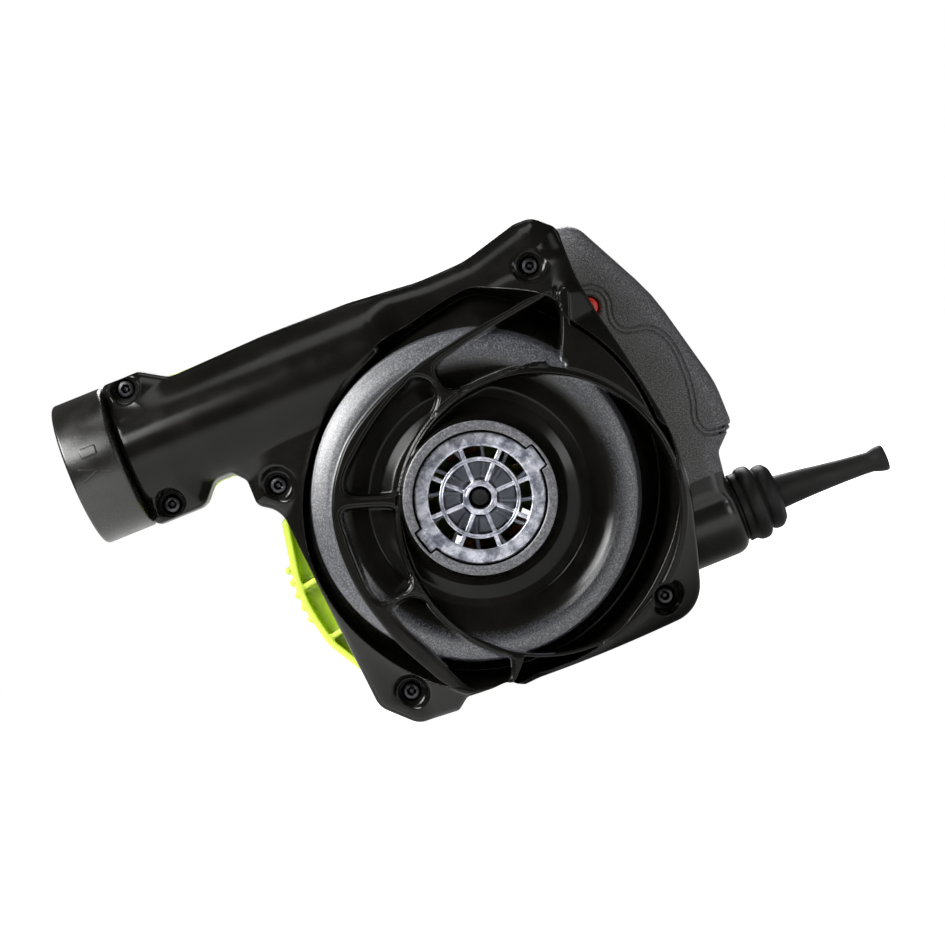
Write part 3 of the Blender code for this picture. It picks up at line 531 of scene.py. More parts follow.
BLACK = cover_plastic()
SATIN = moulded("satin_black", (0.0052, 0.0050, 0.0042), (0.0090, 0.0087, 0.0076), 0.22, 0.32)
GREY = handle_plastic()
GREEN = green_plastic()
RED = moulded("button_red", (0.55, 0.022, 0.012), (0.68, 0.035, 0.018), 0.25, 0.4)
GUARD = guard_plastic()
FAN = moulded("fan_grey", (0.24, 0.26, 0.32), (0.36, 0.38, 0.45), 0.28, 0.45)
RUBBER = moulded("soft_rubber", (0.0055, 0.0055, 0.0052), (0.0095, 0.0095, 0.009), 0.42, 0.55,
                 grain=1400.0, depth=0.00006, **{"Specular IOR Level": 0.25})
STEEL = metal("blackened_steel", (0.035, 0.035, 0.037), (0.10, 0.10, 0.105), 0.28, 0.45)
BRIGHT = metal("ground_steel", (0.45, 0.45, 0.47), (0.68, 0.68, 0.70), 0.22, 0.38)
IRON = metal("laminations", (0.16, 0.16, 0.17), (0.32, 0.31, 0.31), 0.4, 0.6)
COPPER = metal("enamelled_copper", (0.45, 0.17, 0.06), (0.75, 0.33, 0.14), 0.25, 0.45, 600.0)
BRASS = metal("drawn_brass", (0.62, 0.42, 0.14), (0.80, 0.60, 0.25), 0.2, 0.4)
CARBON = moulded("carbon", (0.015, 0.015, 0.015), (0.03, 0.03, 0.03), 0.5, 0.7)
RESIN = moulded("dark_resin", (0.035, 0.022, 0.014), (0.07, 0.045, 0.028), 0.4, 0.6)
FILM = moulded("film_yellow", (0.60, 0.42, 0.04), (0.75, 0.56, 0.08), 0.25, 0.4)


def dress(piece, body, finish, slot, *nodes):
    """A finished piece: its material, the body it rides on and the CAD nodes it stands for."""
    piece.data.materials.clear()
    piece.data.materials.append(finish)
    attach(piece, body)
    if nodes:
        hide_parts(*nodes)
    return piece


# -------- front cover

WALL = 3.0
SPLIT = 42.0
GAP = 0.15
DUCT_Z = 75.0
DUCT_RADIUS = 25.4
DUCT_START = -136.4
BORE_RADIUS = 21.2
BORE_START = -121.5
BORE_END = -14.0
NECK_RADIUS = 22.6
BASE = -82.3
FOOT_HEIGHT = BASE + 0.05
TOP = 107.4
HEAD_SINK = 3.2
HEAD_ROOM = 4.1
PILOT = 2.2
TRENCH = [
    (-90, 76.5), (-56, 77.3), (-43, 78.1), (-32, 79.5), (-22, 80.4), (-6, 81.7), (16, 83.4), (41, 84.6),
    (55, 86.9), (71, 89.5), (79, 84.4), (88, 79.6), (97, 77.2), (108, 75.0), (128, 73.4), (147, 73.4),
    (158, 74.7), (178, 76.9), (198, 77.6), (214, 77.5), (231, 77.6), (270, 76.5),
]
DISH = [
    (30, -30), (33, 0), (33.9, 9.0), (35.5, 13.2), (38, 15.8), (43, 17.4), (48, 17.2), (51.5, 15.0),
    (55, 12.2), (58, 10.2), (60.5, 9.2), (63, 8.9), (66, 9.5), (69, 10.7), (72, 12.4), (140, 12.4),
]
COVER_OUTLINE = [
    (DUCT_START, 107.3, 3), (-118, 107.3, 6), (-106, 99.9, 10), (-62, 101.4, 60), (-22, 101.0, 50),
    (10, 98.0, 40), (32, 98.6, 40), (58.5, 105.8, 8), (66.5, 105.6, 8), (75.8, 97, 8), (74.3, 72, 40),
    (80, 42, 80), (87.2, 0, 60), (86.5, -28, 60), (72.0, BASE, 16), (-12, BASE, 3), (-18, -78.5, 4),
    (-37, -77.5, 3), (-43, BASE, 3), (-62, BASE, 9), (-75.5, -69, 10), (-83, 27, 12), (-92, 33, 5),
    (-92, 45, 4), (-97, 50.6, 3), (-105, 50.6, 6), (-113, 41.4, 7), (DUCT_START, 41.4, 3),
]
# Scroll screws: (x, z), the depth of the boss face, the radius of the recess, and the turn of the slots
SCREWS = {
    "cover_screw_top": ((57.8, 85.5), 24.0, 5.2, 12),
    "cover_screw_left": ((-80.1, 37.9), 28.0, 5.2, 40),
    "cover_screw_foot": ((-59.6, -67.6), 27.0, 5.2, 20),
    "cover_screw_right": ((58.7, -70.0), 22.0, 5.2, 33),
    "nozzle_screw_upper": ((-126.6, 102.4), 31.0, 4.2, 5),
    "nozzle_screw_lower": ((-126.6, 47.6), 31.0, 4.2, 25),
}
SKIN = [
    (62, 71), (50.6, 71.5), (40.1, 70), (24.5, 68.1), (6.6, 64.6), (-2.5, 62.4), (-13.5, 59.1),
    (-22.5, 55.9), (-34.1, 49.9), (-45, 42), (-53.7, 31.7), (-58.7, 23), (-61.9, 14.9), (-63.8, 3.6),
    (-64.1, -8.6), (-62.9, -21.3), (-60, -33.1), (-55.8, -45.5), (-49.6, -58), (-43.8, -68.2),
    (-35.2, -76.4), (-19.1, -80), (-14.6, -77.6), (-9, -72),
]
WINDOWS = [
    [
        (62.2, 67.6), (60.2, 58), (54.8, 46.4), (50.6, 43.6), (40, 45.6), (30.7, 46.8), (22.5, 47),
        (13.2, 46.6), (7, 46.9), (3.6, 49.6), (2.4, 54.6), (3.2, 59), (8, 61.2), (23.1, 64.2), (40.7, 67),
        (52.9, 68.7), (59.6, 69.6),
    ],
    [
        (-7.4, 58.4), (-1.8, 54.6), (-0.8, 48.2), (-3.4, 43.4), (-10.2, 37.1), (-18, 31.1), (-24.5, 24.5),
        (-29.4, 18), (-32.9, 15.8), (-37.3, 16.2), (-50, 21), (-52.6, 25.4), (-49.2, 31.4), (-42.1, 37.7),
        (-33.1, 44.8), (-22.8, 51.4), (-13.3, 56),
    ],
    [
        (-56.4, 16.4), (-52.2, 16), (-38.4, 11.2), (-35.6, 7.6), (-36.6, 1.2), (-38.8, -6.6),
        (-39.9, -15.3), (-41, -21.6), (-43.4, -24.5), (-48.2, -25.6), (-54, -26), (-57.4, -24),
        (-59.2, -16.5), (-59.2, -2.8), (-58.8, 7.7), (-58, 14.6),
    ],
    [
        (-53.2, -30.8), (-48.6, -28.4), (-42.4, -28.6), (-38.6, -31.6), (-37.2, -36.6), (-34.1, -44),
        (-29.6, -52), (-23.6, -59.8), (-18.2, -65), (-15, -67.4), (-14.2, -70), (-16.6, -75.8),
        (-19.8, -77.2), (-25.6, -76.6), (-32.2, -75.2), (-35.9, -71.4), (-40.6, -60.9), (-45.3, -49.8),
        (-50.3, -40),
    ],
]
RING_OUTSIDE = ((22.1, -15.5), 62.3)
RING_INSIDE = ((21.8, -16.2), 60.2)
NOTCHES = [14.0, 196.5]
cover_path = rounded(COVER_OUTLINE)


def trench_radius(x, z):
    table = sorted((angle % 360, radius) for angle, radius in TRENCH[:-1])
    table = [(table[-1][0] - 360, table[-1][1])] + table + [(table[0][0] + 360, table[0][1])]
    angle = np.degrees(np.arctan2(z, x)) % 360
    dense = np.arange(-6, 366, 0.5)
    values = np.interp(dense % 360, *zip(*table))
    kernel = np.ones(9) / 9
    values = np.convolve(np.pad(values, 4, "edge"), kernel, "valid")
    return np.interp(angle, dense, values)


def dish_depth(radius):
    dense = np.arange(33.0, 141.0, 0.2)
    values = np.interp(dense, *zip(*DISH))
    kernel = np.exp(-np.linspace(-2, 2, 13) ** 2)
    values = np.convolve(np.pad(values, 6, "edge"), kernel / kernel.sum(), "valid")
    return np.interp(radius, dense, values)


def duct_distance(d, z):
    """Distance from the middle line of the duct."""
    return np.sqrt((z - DUCT_Z) ** 2 + (d - SPLIT) ** 2)


def duct_bore(x, d, z):
    """Bore of the duct with the wider neck that the collar's spigot stands in."""
    away = duct_distance(d, z)
    bore = smax(away - BORE_RADIUS, slab(x, BORE_START, BORE_END), 1.0)
    return bore, smax(away - NECK_RADIUS, x - BORE_START, 0.4)


def cover_heights(x, z):
    """Depth of the cover's front surface without its ribs, and the outlines that its ribs follow."""
    radius = np.hypot(x, z)
    trench = trench_radius(x, z)
    edge = np.hypot(x + 1.6, z - 1.4)
    slope = 21.5 / np.maximum(trench - 1.4 - 70.6, 0.8)
    dome = smax(dish_depth(radius), 12.0 + slope * (edge - 70.6), 0.7)
    skin = outline_distance(x, z, smooth_path(SKIN, False))
    ring = ball(x, z, *RING_OUTSIDE)
    upright = strip(x, z, (66.0, 67.5), (57.0, 42.2), 4.2)
    skin = smin(smin(skin, ring, 1.5), upright, 3.0)
    right_of_upright = (x - 57.0) * 0.942 - (z - 42.2) * 0.335
    filled = step_up(-3.0, 1.0, right_of_upright) * step_up(-2.0, 6.0, z) * step_up(40.0, 60.0, x)
    crescent = overlap([radius - trench + 0.9, -ring, -right_of_upright, 3.0 - z])
    skin = smin(skin, crescent, 1.0)
    rim = outline_distance(x, z, cover_path)
    land = 30.5 - 8.5 * (1 - np.exp(np.minimum(rim + 1.5, 0) / 7.0))
    land = smin(land, 8.0 + 1.15 * np.maximum(skin, 0), 5.0)
    across = np.sqrt(np.maximum((DUCT_RADIUS - 0.1) ** 2 - (z - DUCT_Z) ** 2, 0))
    fade = step_up(38, -16, x)
    land = np.where(across > 0, smin(land, SPLIT - across * fade + 40 * (1 - fade), 6.0), land)
    for name, (place, face, recess, _) in SCREWS.items():
        weight = step_up(3.6, 0.9, ball(x, z, place, recess))
        if name == "cover_screw_right":
            weight = weight * step_up(1.0, 5.0, skin)
        land = land * (1 - weight) + face * weight
    shore = smax(land, 33.0 - (5.0 + 28.0 * filled) * (radius - trench), 1.2)
    inner = step_up(150.0, 140.0, radius)
    front = smin(dome, shore, 0.6) * inner + land * (1 - inner)
    return front.astype(np.float32), skin, ring, radius, trench, rim


def cover_openings(radius, d, x, z):
    """Throat of the intake ring with its bayonet groove and the two notches for the guard's lugs."""
    throat = np.minimum(radius - 26.0, np.maximum(radius - 28.9, d - 4.0))
    throat = np.minimum(throat, np.maximum(radius - 31.8, slab(d, 3.0, 7.0)))
    for angle in NOTCHES:
        across, up = turned_about(x, z, angle)
        notch = overlap([slab(up, -5.8, 5.8), 24.0 - across, radius - 31.8, d - 5.0])
        throat = np.minimum(throat, notch)
    return throat


def front_cover(x, d, z):
    front, skin, ring, radius, trench, rim = cover_heights(x, z)
    body = (front - d) * np.float32(0.75)
    windows = union(outline_distance(x, z, smooth_path(window)) for window in WINDOWS)
    windows = np.maximum(windows, 0.3 - ring)
    top = 7.4 + 0.9 * step_up(1.5, 1.0, windows)
    top = top + 0.7 * step_up(-2.2, -1.0, ring) * step_up(0.6, -0.4, ring)
    ribs = smax(skin, -ball(x, z, *RING_INSIDE), 0.8)
    ribs = smax(ribs, -windows, 0.8)
    body = smin(body, smax(ribs, top - d, 1.0), 1.4)
    body = smax(body, rim, 2.6)
    duct = smax(duct_distance(d, z) - DUCT_RADIUS, slab(x, DUCT_START, BORE_END - 2.0), 4.0)
    body = smin(body, smax(duct, trench + 0.4 - radius, 1.0), 1.0)
    body = smin(body, smax(rim, 36.0 - d, 2.6), 0.6)
    body = smin(body, overlap([radius - 33.0, -d, d - 12.0]), 0.5)
    inside = smax(smax(radius - (trench - 2.6), np.maximum(front, 9.0) + 3.4 - d, 2.0), 20.0 - d, 2.0)
    bore, neck = duct_bore(x, d, z)
    bore = np.maximum(bore, -np.maximum(radius - trench - 2.8, d - 37.0))
    body = np.maximum(body, -union([inside, bore, neck]))
    body = smax(body, -cover_openings(radius, d, x, z), 0.35)
    for place, face, *_ in SCREWS.values():
        away = ball(x, z, place, 0.0)
        sink = np.minimum(np.maximum(away - HEAD_ROOM, d - face - 5.8), away - PILOT)
        flare = 1.6 * np.clip((face + 3.6 - d) / 3.6, 0, 1.3)
        cone = np.maximum(away - HEAD_ROOM - flare, d - face - 3.6)
        body = smax(body, -np.minimum(sink, cone), 0.3)
    body = smax(smax(body, FOOT_HEIGHT - z, 0.3), z - TOP, 0.3)
    return smax(body, d - (SPLIT - GAP), 0.4)


cover = cast("front_cover_shell", front_cover, (-137, -0.2, BASE - 0.2), (90, SPLIT, 108), 0.46)
dress(cover, "housing", BLACK, "black_plastic", "front_cover")

# -------- rear housing

SCROLL_RADII = [(90, 93.0), (130, 70.0), (180, 74.0), (270, 75.4), (360, 83.0), (450, 93.0)]
BARREL = 41.0
BARREL_END = 148.0
BRUSH_DEPTH = 133.0
EARS = [45.0, 225.0]
EAR_REACH = 43.0
EAR_RADIUS = 5.0
EAR_SCREW_REACH = 44.5
EAR_HOLE = 1.8
AIR_HOLES = 5
STAND = [(-35, BASE + 1, 3), (35, BASE + 1, 3), (30, -34, 8), (-30, -34, 8)]
WING = [(-70, 24, 2), (-86, 24, 4), (-92.6, -12, 60), (-87.5, -36, 20), (-70, -66, 4), (-58, -62, 2)]
WING_BUMPS = [(-91.3, 1.1), (-91.5, -4.6), (-91.4, -10.6), (-90.9, -16.6), (-90.0, -22.6)]


def scroll_edge(x, z):
    """Distance outside the scroll's inner wall."""
    angle = (np.degrees(np.arctan2(z, x)) - 90) % 360 + 90
    return np.hypot(x, z) - np.interp(angle, *zip(*SCROLL_RADII))


def rear_housing(x, d, z):
    radius = np.hypot(x, z)
    wall = scroll_edge(x, z)
    rim = outline_distance(x, z, cover_path)
    body = smax(wall - WALL, d - 66.0, 9.0)
    body = smin(body, smax(rim, d - 47.0, 2.0), 1.5)
    duct = smax(duct_distance(d, z) - DUCT_RADIUS, slab(x, DUCT_START, BORE_END + 2.0), 3.0)
    body = smin(body, duct, 3.0)
    body = smin(body, smax(radius - BARREL, d - BARREL_END, 1.2), 7.0)
    for place, *_ in SCREWS.values():
        body = smin(body, smax(ball(x, z, place, 5.4), d - 58.0, 1.0), 1.2)
    for angle in EARS:
        ear = np.maximum(ball(x, z, polar(EAR_REACH, angle), EAR_RADIUS), slab(d, 128.0, BARREL_END))
        body = smin(body, ear, 2.5)
    web = outline_distance(x, z, rounded(STAND))
    body = smin(body, smax(web, slab(d, 120.0, 126.0), 1.0), 2.5)
    foot = smax(slab(x, -36.0, 36.0), slab(z, BASE, BASE + 5.0), 2.0)
    body = smin(body, smax(foot, slab(d, 106.0, 140.0), 2.0), 2.5)
    side = outline_distance(x, z, rounded(WING))
    for place in WING_BUMPS:
        side = smin(side, ball(x, z, place, 1.7), 1.0)
    hollow = np.maximum(side + 3.3, d - 56.5)
    wing = smax(side, slab(d, 48.0, 62.0), 2.2)
    wing = smax(wing, -np.maximum(hollow, -wall - 1.0), 0.9)
    for first, last in (((-92, -9), (-66, -4)), ((-88, -34), (-62, -29))):
        web = smax(smax(strip(x, z, first, last, 2.6), slab(d, 48.4, 60.0), 0.9), side + 0.6, 0.9)
        wing = smin(wing, web, 1.0)
    body = smin(body, wing, 0.8)
    chamber = smax(wall, d - 62.0, 6.0)
    bore, neck = duct_bore(x, d, z)
    bay = union([np.maximum(radius - 36.6, 67.0 - d), radius - 5.0, np.maximum(radius - 11.4, 66.5 - d)])
    bay = np.maximum(bay, -overlap([radius - 15.0, 11.4 - radius, d - 77.0]))
    for index in range(AIR_HOLES):
        turn = math.radians(90 + 360 / AIR_HOLES * index)
        away = np.abs((np.arctan2(z, x) - turn + math.pi) % math.tau - math.pi)
        passage = smax(slab(radius, 20.0, 30.0), (away - math.radians(21)) * 25.0, 2.0)
        bay = np.minimum(bay, np.maximum(passage, slab(d, 58.0, 69.0)))
    body = np.maximum(body, -union([chamber, bore, neck, bay]))
    ports = np.maximum(np.hypot(d - BRUSH_DEPTH, z) - 7.8, 30.0 - np.abs(x))
    holes = union(np.maximum(ball(x, z, place, PILOT), d - 54.5) for place, *_ in SCREWS.values())
    for angle in EARS:
        hole = np.maximum(ball(x, z, polar(EAR_SCREW_REACH, angle), EAR_HOLE), 136.0 - d)
        holes = np.minimum(holes, hole)
    body = smax(body, -np.minimum(ports, holes), 0.4)
    body = smax(smax(body, FOOT_HEIGHT - z, 0.3), z - TOP, 0.3)
    return smax(body, SPLIT + GAP - d, 0.4)


rear = cast("rear_housing_shell", rear_housing, (-137, SPLIT, BASE), (90, BARREL_END, 108), 0.7)
dress(rear, "housing", GREEN, "lime_plastic", "rear_housing")

# -------- outlet collar

MOUTH_X = -160.2
COLLAR_BACK = MOUTH_X + 23.2
collar = lathe("outlet_cup", [
    (29, MOUTH_X + 0.05), (31.6, MOUTH_X), (32.5, MOUTH_X + 0.9),
    (32.5, COLLAR_BACK - 1.0), (31.5, COLLAR_BACK),
    (22.1, COLLAR_BACK), (22.1, -122.0), (19.8, -122.0), (19.8, COLLAR_BACK - 4), (29, COLLAR_BACK - 7),
], (0, DUCT_Z), SPLIT, steps=160, bevel=0.8)
dress(collar, "housing", SATIN, "black_plastic", "outlet_collar")


def collar_key(x, d, z):
    """Raised oblong and arrow-like wedge on the cup that guide the nozzle tube."""
    skin = np.hypot(z - DUCT_Z, d - SPLIT)
    block = smax(slab(x, -152.5, -145.0), slab(z, 79.0, 83.5), 0.8)
    wedge = outline_distance(x, z, [(-155.5, 69.0), (-147.0, 72.5), (-155.5, 76.0)])
    mark = smin(block, wedge, 0.1)
    mark = smax(mark, skin - 33.0, 0.5)
    return smax(smax(mark, 32.0 - skin, 0.1), d - 16.0, 0.2)


key = cast("outlet_cup_key", collar_key, (-156, 9.0, 68.5), (-144, 13.0, 84), 0.22)
dress(key, "housing", SATIN, "black_plastic")

# -------- intake guard, impeller and fan nut

GUARD_FRONT = 3.6
GUARD_BACK = 6.6
SPOKES = 8


def intake_guard(x, d, z):
    """Clear grille: ring with two lugs, two rings of spokes, thin middle ring and octagonal hub."""
    radius = np.hypot(x, z)
    front, back = GUARD_FRONT, GUARD_BACK
    body = smax(slab(radius, 22.1, 28.2), slab(d, front, back), 0.9)
    for angle in NOTCHES:
        across, up = turned_about(x, z, angle)
        lug = smax(slab(up, -5.2, 5.2), slab(across, 26.0, 31.0), 0.6)
        body = smin(body, smax(lug, slab(d, front + 0.1, back - 0.2), 0.5), 0.3)
    spokes = []
    for index in range(SPOKES):
        across, up = turned_about(x, z, 2.0 + 360.0 / SPOKES * index)
        inner = smax(slab(up, -0.95, 0.95), slab(across, 6.5, 16.5), 0.2)
        spokes.append(smax(inner, slab(d, front + 0.9, back - 0.3), 0.5))
        across, up = turned_about(x, z, 0.5 + 360.0 / SPOKES * index)
        outer = smax(slab(up, -1.0, 1.0), slab(across, 16.8, 23.0), 0.2)
        spokes.append(smax(outer, slab(d, front + 0.7, back - 0.3), 0.5))
    body = smin(body, union(spokes), 0.4)
    middle = smax(slab(radius, 15.7, 17.5), slab(d, front + 0.2, back - 0.1), 0.4)
    middle = smax(middle, -smax(slab(radius, 16.4, 16.8), d - front - 0.7, 0.2), 0.2)
    body = smin(body, middle, 0.3)
    hub = smax(prism(x, z, 4, 22.5, 7.3), slab(d, front + 0.3, back + 0.1), 0.7)
    collar_ring = smax(slab(radius, 4.9, 6.0), slab(d, front - 0.1, back), 0.4)
    body = smin(smin(body, hub, 0.3), collar_ring, 0.15)
    return smax(body, 4.9 - radius, 0.3)


guard = cast("intake_guard", intake_guard, (-32, 3.4, -32), (32, 6.9, 32), 0.2)
dress(guard, "guard", GUARD, "silver_plastic", "inlet_guard")


VANES = 12
VANE_FRONT = 27.4
VANE_BACK = 58.0
RIM = 51.5


def impeller(x, d, z):
    """Fan with a shallow hub disc, curved vanes, a back plate and a thin front ring."""
    radius = np.hypot(x, z)
    angle = np.arctan2(z, x)
    lean = 0.5 * np.maximum((radius - 9.0) / 41.0, 0.0) ** 1.3
    pitch = math.tau / VANES
    away = np.abs((angle - lean + pitch / 2) % pitch - pitch / 2) * radius
    front = VANE_FRONT + 4.5 * step_up(24.0, 15.5, radius)
    vanes = smax(smax(away - 0.85, slab(radius, 9.0, 50.2), 0.5), slab(d, VANE_FRONT, VANE_BACK), 0.5)
    vanes = smax(vanes, front - d, 0.5)
    disc = 33.0 + 0.5 * step_up(9.5, 15.0, radius)
    hub = smax(radius - 15.8, np.abs(d - disc - 1.0) - 1.0, 0.8)
    cone = np.maximum(np.abs(radius - 14.6) - 1.0, slab(d, 34.0, 58.4))
    back = smax(slab(radius, 28.0, RIM), slab(d, 56.6, 58.6), 0.6)
    ring = smax(slab(radius, 36.0, RIM), np.abs(d - 25.8 + (RIM - radius) * 0.06) - 0.9, 0.5)
    boss = np.maximum(radius - 9.6, slab(d, 33.2, 59.4))
    body = smin(smin(smin(vanes, hub, 0.6), cone, 0.6), smin(back, ring, 0.1), 0.6)
    body = smin(body, boss, 0.5)
    eye = np.maximum(radius - 8.4, d - 39.8)
    return smax(body, -np.minimum(eye, radius - 4.3), 0.3)


fan = cast("fan_wheel", impeller, (-51.6, 24.7, -51.6), (51.6, 59.4, 51.6), 0.55)
dress(fan, "rotor", FAN, "fan_plastic", "impeller")


def hex_nut(x, d, z):
    radius = np.hypot(x, z)
    body = smax(prism(x, z, 3, 30.0, 5.8), slab(d, 32.6, 37.9), 0.3)
    body = smax(body, radius - 6.9 + np.maximum(33.6 - d, 0) * 1.2, 0.2)
    return smax(body, 4.25 + np.maximum(33.2 - d, 0) - radius, 0.2)


nut = cast("fan_lock_nut", hex_nut, (-7.2, 32.4, -7.2), (7.2, 38.0, 7.2), 0.16)
dress(nut, "rotor", STEEL, "dark_steel", "fan_nut")

# -------- screws


def cross_screw(length, head_radius=3.7, reach=2.1):
    """Field of a cross-recess pan head with its shank, at the fan axis with its top at depth 0."""
    def shape(x, d, z):
        radius = np.hypot(x, z)
        head = smax(radius - head_radius, 0.5 * (radius / head_radius) ** 3 - d, 0.6)
        head = smax(head, d - 2.4, 0.3)
        body = smin(head, smax(radius - 1.9, d - length, 0.6), 0.2)
        arm = reach - d * 0.75
        wide, tall = np.abs(x), np.abs(z)
        cross = np.minimum(np.maximum(wide - arm, tall - 0.46), np.maximum(tall - arm, wide - 0.46))
        cross = smin(cross, radius - 0.9 + d * 0.3, 0.4)
        return smax(body, -np.maximum(cross, d - 1.7), 0.15)
    return shape


def set_screw(name, node, length, place, top, facing, spin):
    """A screw with its top at a depth, facing the intake (1) or the back (-1)."""
    made = cast(name, cross_screw(length), (-3.9, -0.1, -3.9), (3.9, length, 3.9), 0.17)
    points = np.empty(len(made.data.vertices) * 3, np.float32)
    made.data.vertices.foreach_get("co", points)
    points = points.reshape(-1, 3) - ZERO
    c, s = math.cos(math.radians(spin)), math.sin(math.radians(spin))
    across = points[:, 0] * c - points[:, 2] * s
    up = points[:, 0] * s + points[:, 2] * c
    turned = np.stack([across * facing, points[:, 1] * facing, up], 1)
    turned += ZERO + np.array([place[0], top, place[1]]) * MM
    made.data.vertices.foreach_set("co", turned.astype(np.float32).ravel())
    made.data.update()
    dress(made, "housing", STEEL, "dark_steel", node)


THREAD_TIP = 53.2
for node, (place, face, _, spin) in SCREWS.items():
    top = face + HEAD_SINK
    set_screw(node + "_head", node, THREAD_TIP - top, place, top, 1, spin)

HANDLE_DEPTH = 86.0
HANDLE_HALF = 19.7
HANDLE_SCREWS = [(64.0, 87.0), (100.0, 20.0), (6.0, 62.0), (22.0, -56.0)]
HANDLE_SCREW_TOP = HANDLE_DEPTH + HANDLE_HALF - 1.3
for index, place in enumerate(HANDLE_SCREWS):
    names = f"handle_bolt_{index + 1}", f"handle_screw_{index + 1}"
    set_screw(*names, 23.0, place, HANDLE_SCREW_TOP, -1, 17 * index)

# -------- rear handle

HANDLE_OUTLINE = [
    (-14, 84, 6), (58, 102, 16), (86, 99.5, 12), (107.5, 56, 90), (119, 8, 40), (119, -12, 6),
    (108.5, -22, 6), (105.5, -45, 3), (62, -45, 3), (62, -66, 6), (-12, -66, 8), (-12, -30, 2),
    (30, -31, 4), (50, -33, 8), (73, -32, 9), (80, -8, 14), (58, 60, 9), (40, 54, 10), (20, 34, 4),
    (-14, 30, 2),
]
GROOVE = [
    (74.1, 68.7), (78.5, 69.8), (82.4, 68.7), (85.5, 65.5), (86.7, 61.1), (85.8, 56.6), (85.0, 52.1),
    (86.4, 47.1), (91.1, 44.2), (97.9, 42.9), (103.3, 38.3), (106.3, 31.2), (107.1, 21.1), (106.7, 11.6),
    (105.0, 2.5), (103.2, -3.1), (103.8, -8.8), (108.2, -12.5), (121.0, -13.6),
]
LOCK_PLACE = (77.8, 61.0)
TAIL_Z = -50.0
TAIL_RADIUS = 19.5
TAIL_END = 108.0
GRIP_TOP = Vector((58.0, 60.0))
GRIP_FOOT = Vector((80.0, -8.0))
grip_along = (GRIP_FOOT - GRIP_TOP).normalized()
grip_inward = Vector((-grip_along.y, grip_along.x))
grip_middle = GRIP_TOP.lerp(GRIP_FOOT, 0.36)


def grip_outline(corners):
    """Outline through corners given along the grip, into the grip, and with a radius."""
    return rounded([(*(grip_middle + grip_along * far + grip_inward * deep), radius)
                    for far, deep, radius in corners])


GRIP_WINDOW = [(-13.5, -14, 1), (13.5, -14, 1), (13.5, 9, 1), (-13.5, 9, 1)]


def handle_solid(x, d, z):
    """Outer skin of the handle, and the skin with its hollow."""
    outline = outline_distance(x, z, rounded(HANDLE_OUTLINE))
    body = smax(outline, np.abs(d - HANDLE_DEPTH) - HANDLE_HALF, 9.0)
    tail_axis = np.hypot(d - HANDLE_DEPTH, z - TAIL_Z)
    tail = smax(smax(tail_axis - TAIL_RADIUS, x - TAIL_END, 8.0), 46.0 - x, 1.0)
    body = smin(body, tail, 2.0)
    window = outline_distance(x, z, grip_outline(GRIP_WINDOW))
    hollow = np.maximum(outline, np.abs(d - HANDLE_DEPTH) - HANDLE_HALF) + WALL
    hollow = np.maximum(hollow, 50.0 - x)
    hollow = np.maximum(hollow, -(np.maximum(tail_axis - TAIL_RADIUS, z + 40.0)))
    hollow = np.minimum(hollow, np.maximum(tail_axis - 15.4, 64.0 - x))
    hollow = np.minimum(hollow, np.maximum(window, np.abs(d - HANDLE_DEPTH) - 8.6))
    shell = np.maximum(body, -hollow)
    posts = union(ball(x, z, place, 4.4) for place in HANDLE_SCREWS[:2])
    posts = np.maximum(posts, np.abs(d - HANDLE_DEPTH) - HANDLE_HALF + 1.5)
    shell = smin(shell, posts, 0.4)
    return body, smax(shell, BARREL + 0.6 - np.hypot(x, z), 0.5)


def handle_front(x, d, z):
    skin, body = handle_solid(x, d, z)
    line = line_distance(x, z, smooth_path(GROOVE, False, 4))
    groove = np.maximum(np.abs(line - 1.15) - 0.42, -(skin + 0.85))
    groove = np.maximum(groove, d - HANDLE_DEPTH + 6.0)
    body = smax(body, -groove, 0.35)
    away = ball(x, z, LOCK_PLACE, 0.0)
    rim = np.maximum(away - 5.0 - np.clip(67.4 - d, 0, 1.2), d - 74.0)
    body = smax(body, -rim, 0.35)
    for place in HANDLE_SCREWS:
        body = np.maximum(body, -np.maximum(ball(x, z, place, PILOT), 78.0 - d))
    for offset in (-8.5, 8.5):
        place = (84.0, TAIL_Z + offset)
        column = np.maximum(ball(x, z, place, 2.9), slab(d, 70.0, HANDLE_DEPTH - 3.0))
        body = np.maximum(np.minimum(body, column), -np.maximum(ball(x, z, place, 1.5), 75.0 - d))
    return smax(body, d - (HANDLE_DEPTH - GAP), 0.9)


def handle_rear(x, d, z):
    body = handle_solid(x, d, z)[1]
    for place in HANDLE_SCREWS:
        away = ball(x, z, place, 0.0)
        body = smax(body, -np.minimum(away - PILOT, np.maximum(away - 4.4, 101.7 - d)), 0.3)
    body = np.maximum(body, -np.maximum(ball(x, z, LOCK_PLACE, 5.0), d - 96.0))
    return smax(body, HANDLE_DEPTH + GAP - d, 0.9)


half = cast("handle_shell_front", handle_front, (-15, 66.2, -70), (120, HANDLE_DEPTH, 103), 0.38)
dress(half, "housing", GREY, "grey_plastic", "handle_front")
half = cast("handle_shell_rear", handle_rear, (-15, HANDLE_DEPTH, -70), (120, 105.8, 103), 0.55)
dress(half, "housing", GREY, "grey_plastic", "handle_rear")

DOME = [(0, 64.6), (3.0, 64.8), (4.0, 65.4), (4.3, 66.6), (4.5, 68.0), (4.5, 76), (0, 76)]
button = lathe("lock_on_button", DOME, LOCK_PLACE, steps=64)
dress(button, "lock_button", RED, "red_plastic", "lock_button")


TRIGGER_OUTLINE = [(-12.6, -9, 5), (12.6, -7, 4), (12.9, 7.5, 1), (-12.9, 7.5, 1)]


def trigger_field(x, d, z):
    outline = outline_distance(x, z, grip_outline(TRIGGER_OUTLINE))
    return smax(outline, np.abs(d - HANDLE_DEPTH) - 8.1, 3.5)


